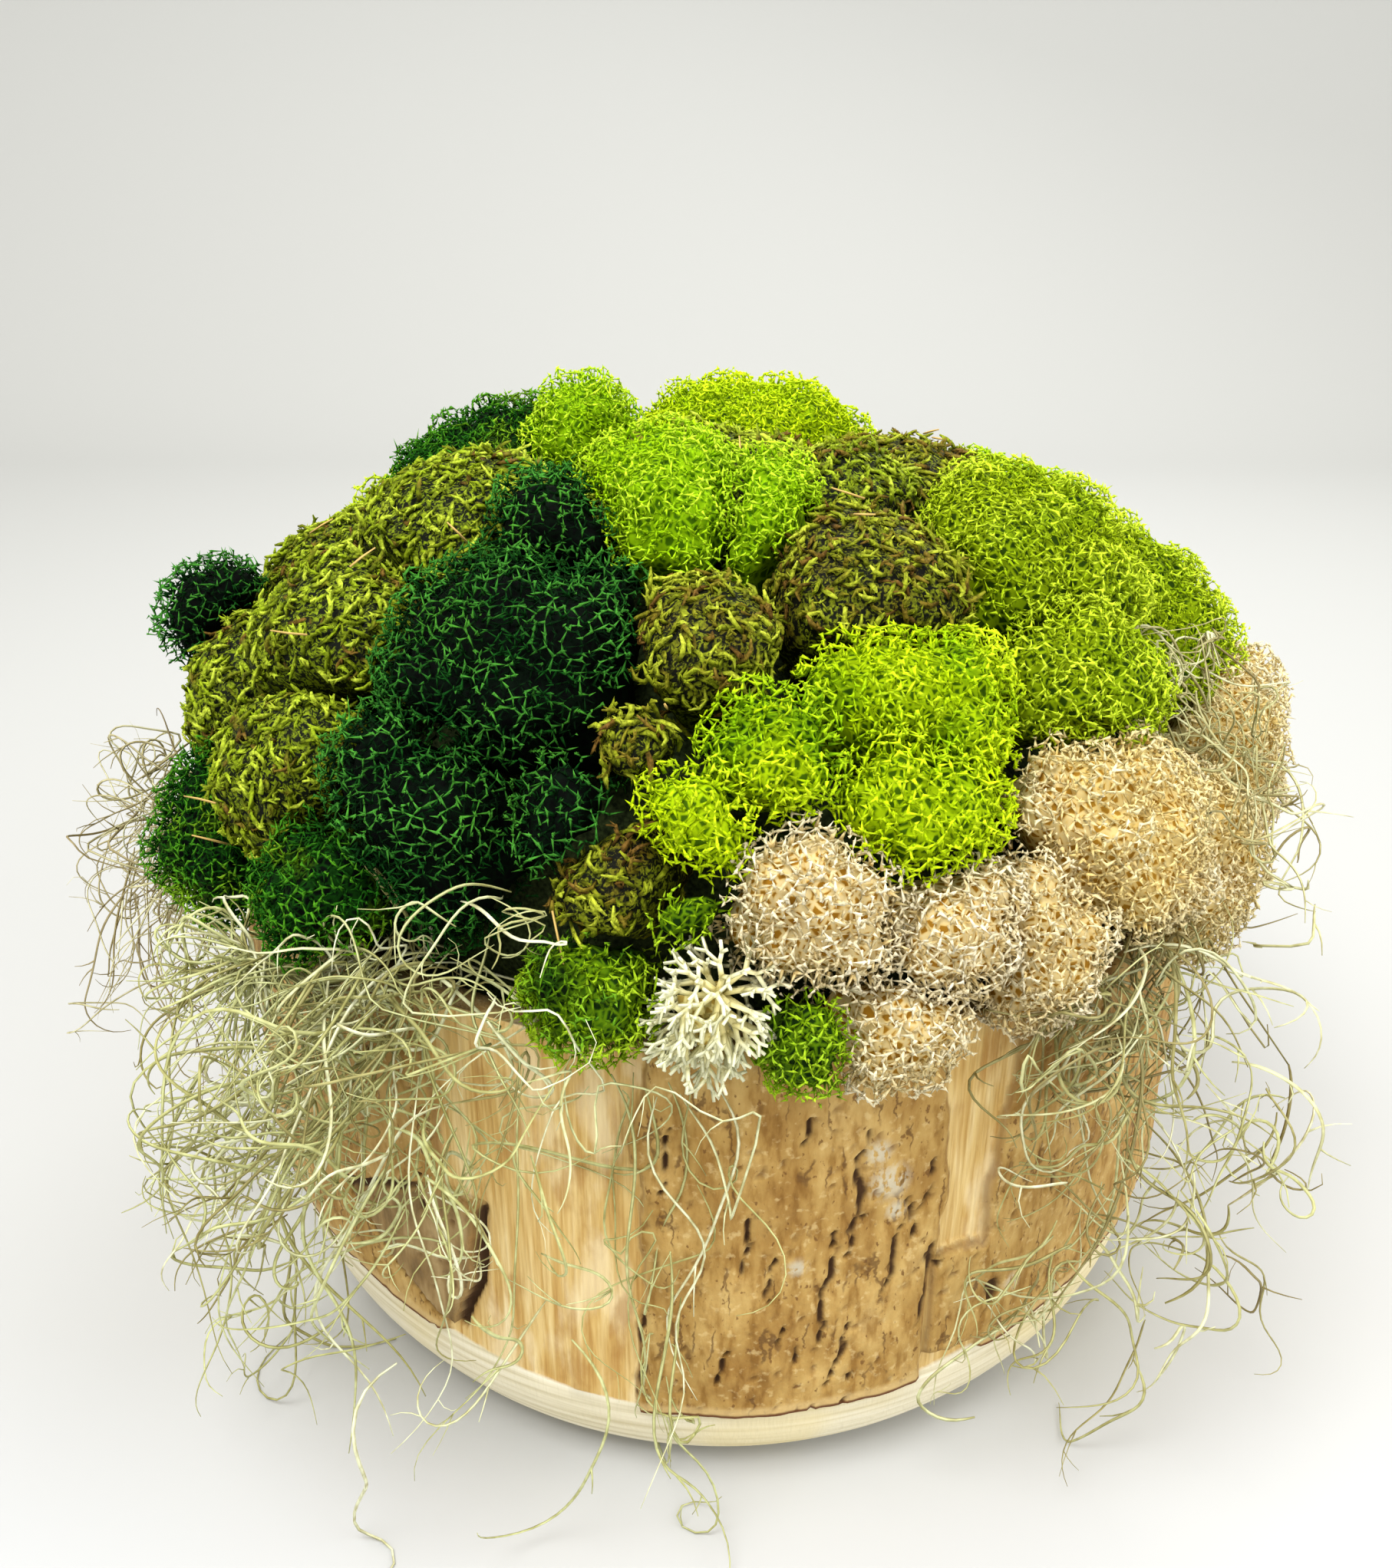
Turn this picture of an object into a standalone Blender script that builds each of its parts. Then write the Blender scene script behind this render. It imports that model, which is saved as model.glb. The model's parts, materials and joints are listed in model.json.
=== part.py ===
"""A moss bowl garden: a bowl turned from one log with its bark left on, a block of dry
foam wedged inside it, and a mound of preserved mosses pressed onto the foam.

Metres, +Z up. The origin is the centre of the bowl's flat foot, on the surface that the
bowl stands on. -Y is the front. Lengths in the tables below are in millimetres.
"""
import math
import random

import bmesh
import bpy
from mathutils import Vector

MM = 0.001
GOLDEN_ANGLE = math.pi * (3.0 - math.sqrt(5.0))

# The bowl: a slightly oval log, hollowed, with a turned underside
BOWL_RADIUS_X = 143.0
BOWL_RADIUS_Y = 140.0
BOWL_HEIGHT = 138.0
BOWL_SEGMENTS = 56
FOOT_RADIUS = 100.0
BARK_EDGE_FRONT = 27.5
BARK_EDGE_SIDE_RISE = 20.0
BARK_THICKNESS = 3.0
UNDERSIDE_OUT_POWER = 0.7
UNDERSIDE_UP_POWER = 1.3
WALL_THICKNESS = 14.0
INNER_FLOOR = 22.0
INNER_FLOOR_RADIUS = 82.0
RIM_CHIP = 0.6
BARE_EDGE_SLOPE = 3.0

# The bark's relief: plates and furrows round the log, and how far each stands out
PLATES_ROUND = 17
PLATE_RELIEF = 1.1
FURROWS_ROUND = 26
FURROW_RELIEF = 0.8

# How far the bark's plates stand out of the nominal oval
BARK_STAND_OUT = 2.5

# Round pieces are shaded smooth up to this angle between faces
SMOOTH_ANGLE = 35.0

# The bare stretches of the log, where the bark has come off: centre and half width in
# degrees round from the front
BARE_STRETCHES = ((-18.5, 11.5), (26.0, 3.5), (128.0, 12.0), (-150.0, 16.0))

# The foam block: straight taper in the bowl, dome above the rim
TOUCH_GAP = 0.3
FOAM_RADIUS_X = 122.0
FOAM_RADIUS_Y = 119.0
FOAM_DOME_BASE = 143.0
FOAM_DOME_RISE = 72.0
FOAM_SEGMENTS = 20

# The mound: the smooth dome that the moss heads are set out on
MOUND_RADIUS_X = 158.0
MOUND_RADIUS_Y = 150.0
MOUND_RISE = 105.0
MOUND_BASE = 150.0

# Gap between neighbouring tufts, the least share of the way between two middles that
# the smaller tuft keeps, and the least room between a tuft's middle and its seat
TUFT_GAP = 0.5
LEAST_SHARE = 0.3
SEAT_ROOM = 5.0

# Each kind of moss: how high it rises for its reach, its spikes' height and lean, and
# the size of its rounded heads for its reach
KINDS = {
    "reindeer": {"rise": 0.80, "spike": 7.0, "lean": 0.35, "head": 0.45},
    "sheet": {"rise": 0.62, "spike": 6.5, "lean": 1.30, "head": 0.30},
    "spanish": {"rise": 0.55, "spike": 3.5, "lean": 1.10, "head": None},
}
FACE_AREA = 76.0
CAP_ANGLE = math.radians(100.0)
ROOT_DIRECTIONS = 9

# The dome and the heads on it, as shares of the tuft's reach. Tufts under HEADED_REACH
# are one head themselves, and those over BROAD_REACH carry more heads.
DOME_SHARE = 0.92
HEAD_TOP_SHARE = 1.04
HEADED_REACH = 18.0
BROAD_REACH = 30.0
FEW_HEADS = 7
MANY_HEADS = 10

COLOURS = {
    "forest": (0.016, 0.090, 0.024),
    "green": (0.045, 0.190, 0.030),
    "lime": (0.230, 0.480, 0.030),
    "olive": (0.210, 0.340, 0.018),
    "chartreuse": (0.430, 0.620, 0.010),
    "sheet": (0.220, 0.270, 0.045),
    "brown": (0.170, 0.150, 0.045),
    "tan": (0.680, 0.540, 0.310),
    "cream": (0.860, 0.800, 0.600),
    "spanish": (0.450, 0.470, 0.260),
    "wood": (0.420, 0.240, 0.100),
    "foam": (0.060, 0.100, 0.050),
}

# The tufts. Place on the mound in degrees: round from the front (plus is to the right)
# and up from the mound's base. Then the tuft's reach sideways, and how far its top
# stands out of the mound's dome.
TUFTS = (
    # name, kind, colour, round, up, reach, stand
    ("moss_forest_crown", "reindeer", "forest", -31, 60, 24, 0),
    ("moss_forest_main", "reindeer", "forest", -24, 42, 36, 2),
    ("moss_forest_low", "reindeer", "forest", -28, 23, 33, -2),
    ("moss_forest_patch", "reindeer", "forest", -13, 25, 15, -4),
    ("moss_green_left", "reindeer", "green", -36, 7, 26, 2),
    ("moss_green_left_end", "reindeer", "green", -60, 2, 24, 1),
    ("moss_tuft_left", "reindeer", "forest", -82, 27, 16, 11),
    ("sheet_moss_left_top", "sheet", "sheet", -62, 58, 33, 2),
    ("sheet_moss_left_middle", "sheet", "sheet", -57, 39, 33, 2),
    ("sheet_moss_left_low", "sheet", "sheet", -50, 22, 30, 0),
    ("sheet_moss_left_edge", "sheet", "sheet", -73, 24, 28, 0),
    ("moss_lime_ball", "reindeer", "lime", -112, 74, 14, 3),
    ("moss_lime_top", "reindeer", "lime", -12, 67, 26, 5),
    ("moss_green_top", "reindeer", "lime", 10, 66, 24, 0),
    ("sheet_moss_centre_right", "sheet", "brown", 24, 54, 30, 0),
    ("sheet_moss_centre_left", "sheet", "brown", -2, 46, 24, 0),
    ("moss_olive_top", "reindeer", "olive", 55, 52, 32, 4),
    ("moss_olive_side", "reindeer", "olive", 45, 36, 25, 0),
    ("moss_chartreuse_top", "reindeer", "chartreuse", 21, 38, 28, 0),
    ("moss_chartreuse_middle", "reindeer", "chartreuse", 5, 33, 22, 0),
    ("moss_chartreuse_low", "reindeer", "chartreuse", 18, 25, 25, 0),
    ("moss_chartreuse_left", "reindeer", "chartreuse", -2, 25, 18, 2),
    ("sheet_moss_middle_top", "sheet", "brown", -7, 33, 16, -2),
    ("sheet_moss_middle", "sheet", "brown", -8, 17, 26, -3),
    ("moss_tan_left", "reindeer", "tan", 9, 14, 24, 0),
    ("moss_tan_middle", "reindeer", "tan", 19, 10, 24, 0),
    ("moss_tan_lip", "reindeer", "tan", 15, -3, 20, 2),
    ("moss_tan_right", "reindeer", "tan", 40, 14, 30, 2),
    ("moss_tan_right_low", "reindeer", "tan", 31, 4, 26, 0),
    ("moss_tan_right_edge", "reindeer", "tan", 53, 2, 28, 0),
    ("moss_cream", "reindeer", "cream", 0, 3, 17, 2),
    ("moss_green_front", "reindeer", "green", -10, 4, 20, 0),
    ("moss_green_strip", "reindeer", "green", -2, 13, 14, -2),
    ("moss_green_lip", "reindeer", "green", 7, -2, 14, 4),
    # the sides and the back, which the front view does not show
    ("sheet_moss_left_side", "sheet", "sheet", -94, 34, 41, -3),
    ("moss_olive_back", "reindeer", "olive", 86, 32, 41, -5),
    ("moss_tan_back_right", "reindeer", "tan", 84, 6, 38, -3),
    ("moss_forest_back_right", "reindeer", "forest", 117, 9, 42, -2),
    ("sheet_moss_back_right", "sheet", "sheet", 150, 6, 42, -2),
    ("moss_chartreuse_back", "reindeer", "chartreuse", 180, 9, 42, -2),
    ("moss_green_back", "reindeer", "green", -150, 7, 42, -2),
    ("moss_tan_back_left", "reindeer", "tan", -119, 7, 42, -2),
    ("sheet_moss_back_left", "sheet", "brown", -91, 3, 33, -2),
    ("moss_lime_back_right", "reindeer", "lime", 122, 37, 42, -4),
    ("moss_tan_back", "reindeer", "tan", 160, 38, 40, -3),
    ("moss_forest_back", "reindeer", "forest", -162, 37, 42, -3),
    ("moss_olive_back_left", "reindeer", "olive", -126, 37, 42, -4),
    ("sheet_moss_crown_right", "sheet", "brown", 100, 65, 44, -8),
    ("sheet_moss_crown_front", "sheet", "sheet", 46, 72, 28, -5),
    ("moss_chartreuse_crown", "reindeer", "chartreuse", 170, 65, 42, -6),
    ("moss_forest_crown_left", "reindeer", "green", -118, 61, 44, -6),
    ("sheet_moss_crown", "sheet", "sheet", -35, 85, 42, -8),
)

# The knots of spanish moss, and what hangs from each: number of strands, how far they
# fan out sideways in degrees, and their shortest and longest length
SPANISH = (
    # name, round, up, reach, stand, strands, fan, shortest, longest
    ("spanish_moss_left", -32, -4, 24, 0, 18, 130, 120, 230),
    ("spanish_moss_left_back", -76, 0, 20, 2, 11, 130, 80, 210),
    ("spanish_moss_right_back", 60, 24, 20, 2, 6, 100, 45, 85),
    ("spanish_moss_right", 38, -8, 24, 0, 12, 100, 110, 220),
    ("spanish_moss_front", -18, 9, 12, 1, 6, 90, 110, 180),
    ("spanish_moss_back", -176, -5, 24, 0, 8, 100, 110, 200),
)

# A strand: its radius, the length of each straight stretch, and its clearance from the
# bowl and the tufts, from other strands, and between two roots
STRAND_RADIUS = 0.8
STRAND_TAPER = 0.35
STRAND_STEP = 18.0
STRAND_CLEARANCE = 2.6
STRAND_SPACING = 2.4
START_SPACING = 4.0
LYING_HEIGHT = 1.0
STRAND_SEED = 540

# How a strand walks: how deep it is rooted in its knot, how far clear of the knot its
# first bend is, the room it keeps to its neighbours' walls, how much of its heading it
# keeps, its sideways swing, its droop, and how far out from the log it may stray
ROOT_SHARE = 0.35
FIRST_BEND = 2.0
WALL_ROOM = 1.6
HEADING_KEPT = 0.7
SWING = 0.55
SWING_BACK = 0.4
DROOPS = (0.5, 0.9)
INWARD_PULL = 0.6
LOOSE_REACH = 30.0


def mound_point(round_deg, up_deg):
    """A point on the mound's dome and the dome's outward direction there."""
    turn = math.radians(round_deg)
    rise = math.radians(up_deg)
    unit = Vector((
        math.cos(rise) * math.sin(turn),
        -math.cos(rise) * math.cos(turn),
        math.sin(rise),
    ))
    radii = Vector((MOUND_RADIUS_X, MOUND_RADIUS_Y, MOUND_RISE))
    point = unit * radii + Vector((0.0, 0.0, MOUND_BASE))
    outward = Vector(a / b for a, b in zip(unit, radii))
    return point, outward.normalized()


def new_object(name, bm, colour, roughness, smooth=False):
    """Turn a bmesh drawn in millimetres into a named object with its own material."""
    bmesh.ops.scale(bm, vec=Vector((MM, MM, MM)), verts=bm.verts)
    bmesh.ops.recalc_face_normals(bm, faces=bm.faces)
    mesh = bpy.data.meshes.new(name)
    bm.to_mesh(mesh)
    bm.free()
    material = bpy.data.materials.new(name)
    material.use_nodes = True
    shader = material.node_tree.nodes["Principled BSDF"]
    shader.inputs["Base Color"].default_value = (*COLOURS[colour], 1.0)
    shader.inputs["Roughness"].default_value = roughness
    shader.inputs["Metallic"].default_value = 0.0
    mesh.materials.append(material)
    if smooth:
        mesh.shade_smooth()
        mesh.set_sharp_from_angle(angle=math.radians(SMOOTH_ANGLE))
    obj = bpy.data.objects.new(name, mesh)
    bpy.context.scene.collection.objects.link(obj)
    return obj


def revolve(rings, segments):
    """Skin closed rings of points, each ring a function of the angle, and cap both ends."""
    bm = bmesh.new()
    loops = []
    for ring in rings:
        angles = [2.0 * math.pi * i / segments for i in range(segments)]
        loops.append([bm.verts.new(ring(angle)) for angle in angles])
    for low, high in zip(loops, loops[1:]):
        for i in range(segments):
            j = (i + 1) % segments
            bm.faces.new((low[i], low[j], high[j], high[i]))
    bm.faces.new(reversed(loops[0]))
    bm.faces.new(loops[-1])
    bmesh.ops.triangulate(bm, faces=bm.faces)
    return bm


def oval(radius_x, radius_y, height):
    """A level oval ring. The angle runs round from the front."""
    return lambda angle: (radius_x * math.sin(angle), -radius_y * math.cos(angle), height)


def bark_cover(angle):
    """1 where the log keeps its bark, 0 on a bare stretch, with a short slope between."""
    degrees = math.degrees(angle)
    cover = 1.0
    for centre, half_width in BARE_STRETCHES:
        away = abs((degrees - centre + 180.0) % 360.0 - 180.0)
        cover = min(cover, max(0.0, min(1.0, (away - half_width) / BARE_EDGE_SLOPE)))
    return cover


def bark_edge(angle):
    """Height of the bark's lower edge: it rises towards both sides of the bowl."""
    return BARK_EDGE_FRONT + BARK_EDGE_SIDE_RISE * math.sin(angle) ** 2


def log_swell(angle):
    """The log's own gentle waves, left out of round."""
    return 1.0 * math.sin(3.0 * angle + 0.6) + 0.7 * math.sin(5.0 * angle + 2.0)


def bark_relief(angle, height):
    """Broad plates and furrows of the bark, running up the log."""
    plates = math.sin(PLATES_ROUND * angle + 0.05 * height)
    furrows = math.sin(FURROWS_ROUND * angle - 0.07 * height + 1.0)
    return PLATE_RELIEF * plates + FURROW_RELIEF * furrows


def wall_radii(angle, height):
    """Outer radii of the log's wall, on bark or on bare wood."""
    cover = bark_cover(angle)
    inset = BARK_THICKNESS * (1.0 - cover) - cover * bark_relief(angle, height)
    swell = log_swell(angle) - inset - 1.5
    return BOWL_RADIUS_X + swell, BOWL_RADIUS_Y + swell


def wall_ring(share):
    """A ring of the outer wall, at a share of the way from the bark's edge to the rim."""
    def ring(angle):
        low = bark_edge(angle)
        height = low + share * (rim_height(angle) - low)
        radius_x, radius_y = wall_radii(angle, height)
        return radius_x * math.sin(angle), -radius_y * math.cos(angle), height
    return ring


def rim_height(angle):
    """The rim is sawn, with small chips broken out of it."""
    return BOWL_HEIGHT - RIM_CHIP + RIM_CHIP * math.sin(7.0 * angle + 0.4)


def underside_ring(turn_deg):
    """A ring of the turned underside: a full-bellied quarter oval, foot to bark's edge."""
    turn = math.radians(turn_deg)

    def ring(angle):
        inset = BARK_THICKNESS + 1.2 - log_swell(angle)
        span_x = BOWL_RADIUS_X - inset - FOOT_RADIUS
        span_y = BOWL_RADIUS_Y - inset - FOOT_RADIUS
        out = math.sin(turn) ** UNDERSIDE_OUT_POWER
        height = (bark_edge(angle) - 0.8) * (1.0 - math.cos(turn)) ** UNDERSIDE_UP_POWER
        radius_x = FOOT_RADIUS + span_x * out
        radius_y = FOOT_RADIUS + span_y * out
        return radius_x * math.sin(angle), -radius_y * math.cos(angle), height
    return ring


def rim_ring(inset, drop):
    """A ring of the rim's top, set in from the outer wall."""
    def ring(angle):
        radius_x = BOWL_RADIUS_X - inset
        radius_y = BOWL_RADIUS_Y - inset
        height = rim_height(angle) - drop
        return radius_x * math.sin(angle), -radius_y * math.cos(angle), height
    return ring


def make_bowl():
    """The bowl: one closed skin from the foot, up the outside, over the rim and in."""
    rings = [oval(FOOT_RADIUS, FOOT_RADIUS, 0.0)]
    rings += [underside_ring(turn) for turn in (20.0, 50.0, 90.0)]
    rings += [wall_ring(share) for share in (0.0, 0.2, 0.4, 0.6, 0.8, 0.97)]
    rings += [rim_ring(6.0, 0.0), rim_ring(WALL_THICKNESS, 1.0)]
    rings += [
        oval(BOWL_RADIUS_X - 20.0, BOWL_RADIUS_Y - 20.0, 60.0),
        oval(INNER_FLOOR_RADIUS + 20.0, INNER_FLOOR_RADIUS + 20.0, 30.0),
        oval(INNER_FLOOR_RADIUS, INNER_FLOOR_RADIUS, INNER_FLOOR),
    ]
    bm = revolve(rings, BOWL_SEGMENTS)
    return new_object("bowl", bm, "wood", 0.75, smooth=True)


def make_foam_core():
    """The dry foam block, standing on the bowl's inner floor and domed above the rim."""
    floor = INNER_FLOOR + TOUCH_GAP
    rings = [
        oval(INNER_FLOOR_RADIUS - 6.0, INNER_FLOOR_RADIUS - 6.0, floor),
        oval(FOAM_RADIUS_X - 12.0, FOAM_RADIUS_Y - 12.0, 60.0),
        oval(FOAM_RADIUS_X, FOAM_RADIUS_Y, FOAM_DOME_BASE),
    ]
    for up_deg in (20.0, 40.0, 60.0, 78.0):
        across = math.cos(math.radians(up_deg))
        height = FOAM_DOME_BASE + FOAM_DOME_RISE * math.sin(math.radians(up_deg))
        rings.append(oval(FOAM_RADIUS_X * across, FOAM_RADIUS_Y * across, height))
    bm = revolve(rings, FOAM_SEGMENTS)
    return new_object("foam_core", bm, "foam", 0.95, smooth=True)


def support(direction, points):
    """How far a set of points reaches along a direction."""
    return max(direction.dot(point) for point in points)


def seat_direction(middle, carriers):
    """The direction, in the tuft's upright plane, in which it stands freest of what it
    is pressed onto, and how far it stands off along it."""
    level = Vector((middle.x, middle.y, 0.0))
    level = level.normalized() if level.length > 1.0 else Vector((1.0, 0.0, 0.0))
    best = None
    for up_deg in range(0, 91, 3):
        rise = math.radians(up_deg)
        direction = level * math.cos(rise) + Vector((0.0, 0.0, math.sin(rise)))
        room = direction.dot(middle) - support(direction, carriers)
        if best is None or room > best[0]:
            best = (room, direction)
    return best


def place_tuft(name, kind, colour, round_deg, up_deg, reach, stand, carriers):
    """Work out a tuft's middle, its outward direction and its seat."""
    surface, outward = mound_point(round_deg, up_deg)
    rise = KINDS[kind]["rise"] * reach
    middle = surface + outward * (stand - rise)
    room, seat = seat_direction(middle, carriers)
    if room < SEAT_ROOM:
        middle += seat * (SEAT_ROOM - room)
        room = SEAT_ROOM
    return {
        "name": name, "kind": kind, "colour": colour, "middle": middle, "out": outward,
        "reach": reach, "rise": rise, "seat": seat, "room": room,
    }


def cell_planes(tuft, tufts):
    """The flat walls of the tuft's own space: one to each neighbour, and its seat. Each
    is a direction and how far the space reaches along it from the tuft's middle."""
    planes = [(-tuft["seat"], tuft["room"] - TOUCH_GAP)]
    for other in tufts:
        if other is tuft:
            continue
        apart = other["middle"] - tuft["middle"]
        distance = apart.length
        weight = tuft["reach"] ** 2 - other["reach"] ** 2
        share = 0.5 + weight / (2.0 * distance ** 2)
        share = max(LEAST_SHARE, min(1.0 - LEAST_SHARE, share))
        planes.append((apart / distance, share * distance - TUFT_GAP / 2.0))
    return planes


def free_reach(tuft, direction, heads):
    """How far the tuft would reach with nothing round it: a flattened dome with rounded
    heads on it, standing on a straight root."""
    along = direction.dot(tuft["out"])
    across = max(1e-6, 1.0 - along ** 2)
    if along < 0.0:
        return tuft["reach"] * DOME_SHARE / math.sqrt(across)
    flat = tuft["rise"] / tuft["reach"]
    best = DOME_SHARE * tuft["reach"]
    for centre, radius in heads:
        middle = direction.dot(centre)
        inside = middle ** 2 - centre.length_squared + radius ** 2
        if inside > 0.0:
            best = max(best, middle + math.sqrt(inside))
    return best / math.sqrt(across + (along / flat) ** 2)


def reach_in(tuft, direction, heads, planes):
    """The tuft's reach inside its own space, and whether a wall stopped it."""
    reach = free_reach(tuft, direction, heads)
    free = True
    for normal, offset in planes:
        facing = normal.dot(direction)
        if facing > 1e-6 and offset / facing < reach:
            reach = offset / facing
            free = False
    return reach, free


def spiral(outward, count, start_cos, end_cos):
    """Directions spread evenly over a band round an axis, on a golden-angle spiral."""
    side = outward.orthogonal().normalized()
    other = outward.cross(side)
    directions = []
    for i in range(count):
        along = start_cos + (end_cos - start_cos) * (i + 0.5) / count
        across = math.sqrt(max(0.0, 1.0 - along ** 2))
        turn = i * GOLDEN_ANGLE
        sideways = side * math.cos(turn) + other * math.sin(turn)
        directions.append(outward * along + sideways * across)
    return directions


def tuft_heads(tuft):
    """Rounded heads crowding over a tuft's dome, as centre and radius from its middle."""
    share = KINDS[tuft["kind"]]["head"]
    if share is None or tuft["reach"] < HEADED_REACH:
        return []
    radius = share * tuft["reach"]
    count = FEW_HEADS if tuft["reach"] < BROAD_REACH else MANY_HEADS
    inward = HEAD_TOP_SHARE * tuft["reach"] - radius
    spread = spiral(tuft["out"], count, 1.0, 0.0)
    return [(direction * inward, radius) for direction in spread]


def within(point, planes, spare=0.0):
    """True where a point, from the tuft's middle, is inside all walls by some spare."""
    return all(normal.dot(point) <= offset - spare for normal, offset in planes)


def raise_spikes(bm, faces, tuft, planes, rng):
    """Draw each open face out into a three-sided spike, a larger-than-life branch tip."""
    kind = KINDS[tuft["kind"]]
    poked = bmesh.ops.poke(bm, faces=faces)
    for tip in poked["verts"]:
        normal = sum((face.normal for face in tip.link_faces), Vector()).normalized()
        drift = Vector(rng.uniform(-1.0, 1.0) for axis in range(3))
        drift -= normal * drift.dot(normal)
        lean = normal + drift * kind["lean"]
        height = kind["spike"] * rng.uniform(0.7, 1.25)
        for shrink in (1.0, 0.7, 0.4, 0.15):
            target = tip.co + lean.normalized() * height * shrink
            if within(target, planes):
                tip.co = target
                break


def tuft_mesh(tuft, planes, rng):
    """A tuft as one closed skin: dome, heads, spikes and a root down to its seat."""
    heads = tuft_heads(tuft)
    solid_angle = 2.0 * math.pi * (1.0 - math.cos(CAP_ANGLE))
    count = max(16, round(solid_angle * tuft["reach"] ** 2 / (2.0 * FACE_AREA)))
    directions = spiral(tuft["out"], count, 1.0, math.cos(CAP_ANGLE))
    directions += spiral(tuft["out"], ROOT_DIRECTIONS, -0.35, -1.0)
    bm = bmesh.new()
    for direction in directions:
        bm.verts.new(direction)
    bmesh.ops.convex_hull(bm, input=bm.verts)
    is_free = {}
    for vert in bm.verts:
        reach, free = reach_in(tuft, vert.co.normalized(), heads, planes)
        vert.co = vert.co.normalized() * reach
        is_free[vert] = free
    bm.normal_update()
    open_faces = [f for f in bm.faces if sum(is_free[v] for v in f.verts) >= 2]
    raise_spikes(bm, open_faces, tuft, planes, rng)
    bmesh.ops.translate(bm, vec=tuft["middle"], verts=bm.verts)
    return bm


def bowl_clear(point):
    """Move a point out of the bowl's wall, if it is in it or too near."""
    if point.z > BOWL_HEIGHT + STRAND_CLEARANCE:
        return point
    level = math.hypot(point.x / BOWL_RADIUS_X, point.y / BOWL_RADIUS_Y)
    least = 1.0 + (STRAND_CLEARANCE + BARK_STAND_OUT) / BOWL_RADIUS_Y
    if level < least:
        scale = least / max(level, 0.05)
        return Vector((point.x * scale, point.y * scale, point.z))
    return point


def mound_clear(point, own, tufts):
    """Move a point out of every tuft but its own, spikes included."""
    for round_trip in range(4):
        for tuft in tufts:
            if tuft is own:
                continue
            off = point - tuft["middle"]
            spike = KINDS[tuft["kind"]]["spike"]
            least = tuft["reach"] * HEAD_TOP_SHARE + spike + STRAND_CLEARANCE
            if off.length < least:
                point = tuft["middle"] + off.normalized() * least
    return point


def strand_route(tuft, tufts, planes, start, length, rng):
    """Walk a strand out of its knot: it swings about, falls, and lies on the surface."""
    skin = free_reach(tuft, start, [])
    bend = start * (skin + FIRST_BEND)
    if not within(bend, planes, WALL_ROOM):
        return None
    points = [tuft["middle"] + start * skin * ROOT_SHARE, tuft["middle"] + bend]
    heading = start.copy()
    swing = 0.0
    droop = rng.uniform(*DROOPS)
    slack = rng.uniform(0.0, LOOSE_REACH)
    for step in range(int(length / STRAND_STEP)):
        swing = rng.uniform(-SWING, SWING) - SWING_BACK * swing
        here = points[-1]
        out = Vector((here.x, here.y, 0.0)).normalized()
        side = Vector((-out.y, out.x, 0.0))
        stray = Vector((here.x, here.y, 0.0)).length - BOWL_RADIUS_X - slack
        pull = max(-0.5, min(0.9, stray / LOOSE_REACH))
        heading = heading * HEADING_KEPT + side * swing - out * pull * INWARD_PULL
        heading.z -= droop if here.z > 3.0 * LYING_HEIGHT else 0.0
        heading.normalize()
        point = here + heading * STRAND_STEP
        if not within(point - tuft["middle"], planes, WALL_ROOM):
            point = mound_clear(point, tuft, tufts)
        point = bowl_clear(point)
        if point.z < LYING_HEIGHT:
            point.z = LYING_HEIGHT
            heading = Vector((heading.x, heading.y, 0.0)).normalized()
        points.append(point)
    return smooth_route(points, tuft, tufts)


def smooth_route(points, tuft, tufts):
    """Round the route's kinks, and clear it again of the bowl, the tufts and the surface."""
    for sweep in range(2):
        eased = [before * 0.25 + here * 0.5 + after * 0.25
                 for before, here, after in zip(points[1:], points[2:], points[3:])]
        for i, point in enumerate(eased):
            point = bowl_clear(mound_clear(point, tuft, tufts))
            point.z = max(point.z, LYING_HEIGHT)
            points[i + 2] = point
    return points


def segment_distance(a, b, c, d):
    """A close estimate of the gap between two short straight stretches."""
    least = 1e9
    for i in range(5):
        p = a.lerp(b, i / 4.0)
        span = d - c
        t = max(0.0, min(1.0, (p - c).dot(span) / max(span.length_squared, 1e-9)))
        least = min(least, (p - c - span * t).length)
    return least


def too_near(points, others):
    """True where a route comes too near a strand already laid."""
    for other in others:
        if (points[1] - other[1]).length < START_SPACING:
            return True
        for a, b in zip(points[1:], points[2:]):
            for c, d in zip(other[1:], other[2:]):
                if (a - c).length > 2.5 * STRAND_STEP:
                    continue
                if segment_distance(a, b, c, d) < STRAND_SPACING:
                    return True
    return False


def strand_mesh(points):
    """A three-sided strand along a route, tapering to a point."""
    bm = bmesh.new()
    ring = None
    side = (points[1] - points[0]).orthogonal().normalized()
    for i, point in enumerate(points[:-1]):
        ahead = points[i + 1] - points[max(i - 1, 0)]
        ahead.normalize()
        side = (side - ahead * side.dot(ahead)).normalized()
        other = ahead.cross(side)
        radius = STRAND_RADIUS * (1.0 - STRAND_TAPER * i / len(points))
        fresh = []
        for k in range(3):
            turn = 2.0 * math.pi * k / 3.0
            offset = side * math.cos(turn) + other * math.sin(turn)
            fresh.append(bm.verts.new(point + offset * radius))
        if ring is None:
            bm.faces.new(reversed(fresh))
        else:
            for k in range(3):
                j = (k + 1) % 3
                bm.faces.new((ring[k], ring[j], fresh[j], fresh[k]))
        ring = fresh
    tip = bm.verts.new(points[-1])
    for k in range(3):
        bm.faces.new((ring[k], ring[(k + 1) % 3], tip))
    bmesh.ops.triangulate(bm, faces=bm.faces)
    return bm


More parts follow.
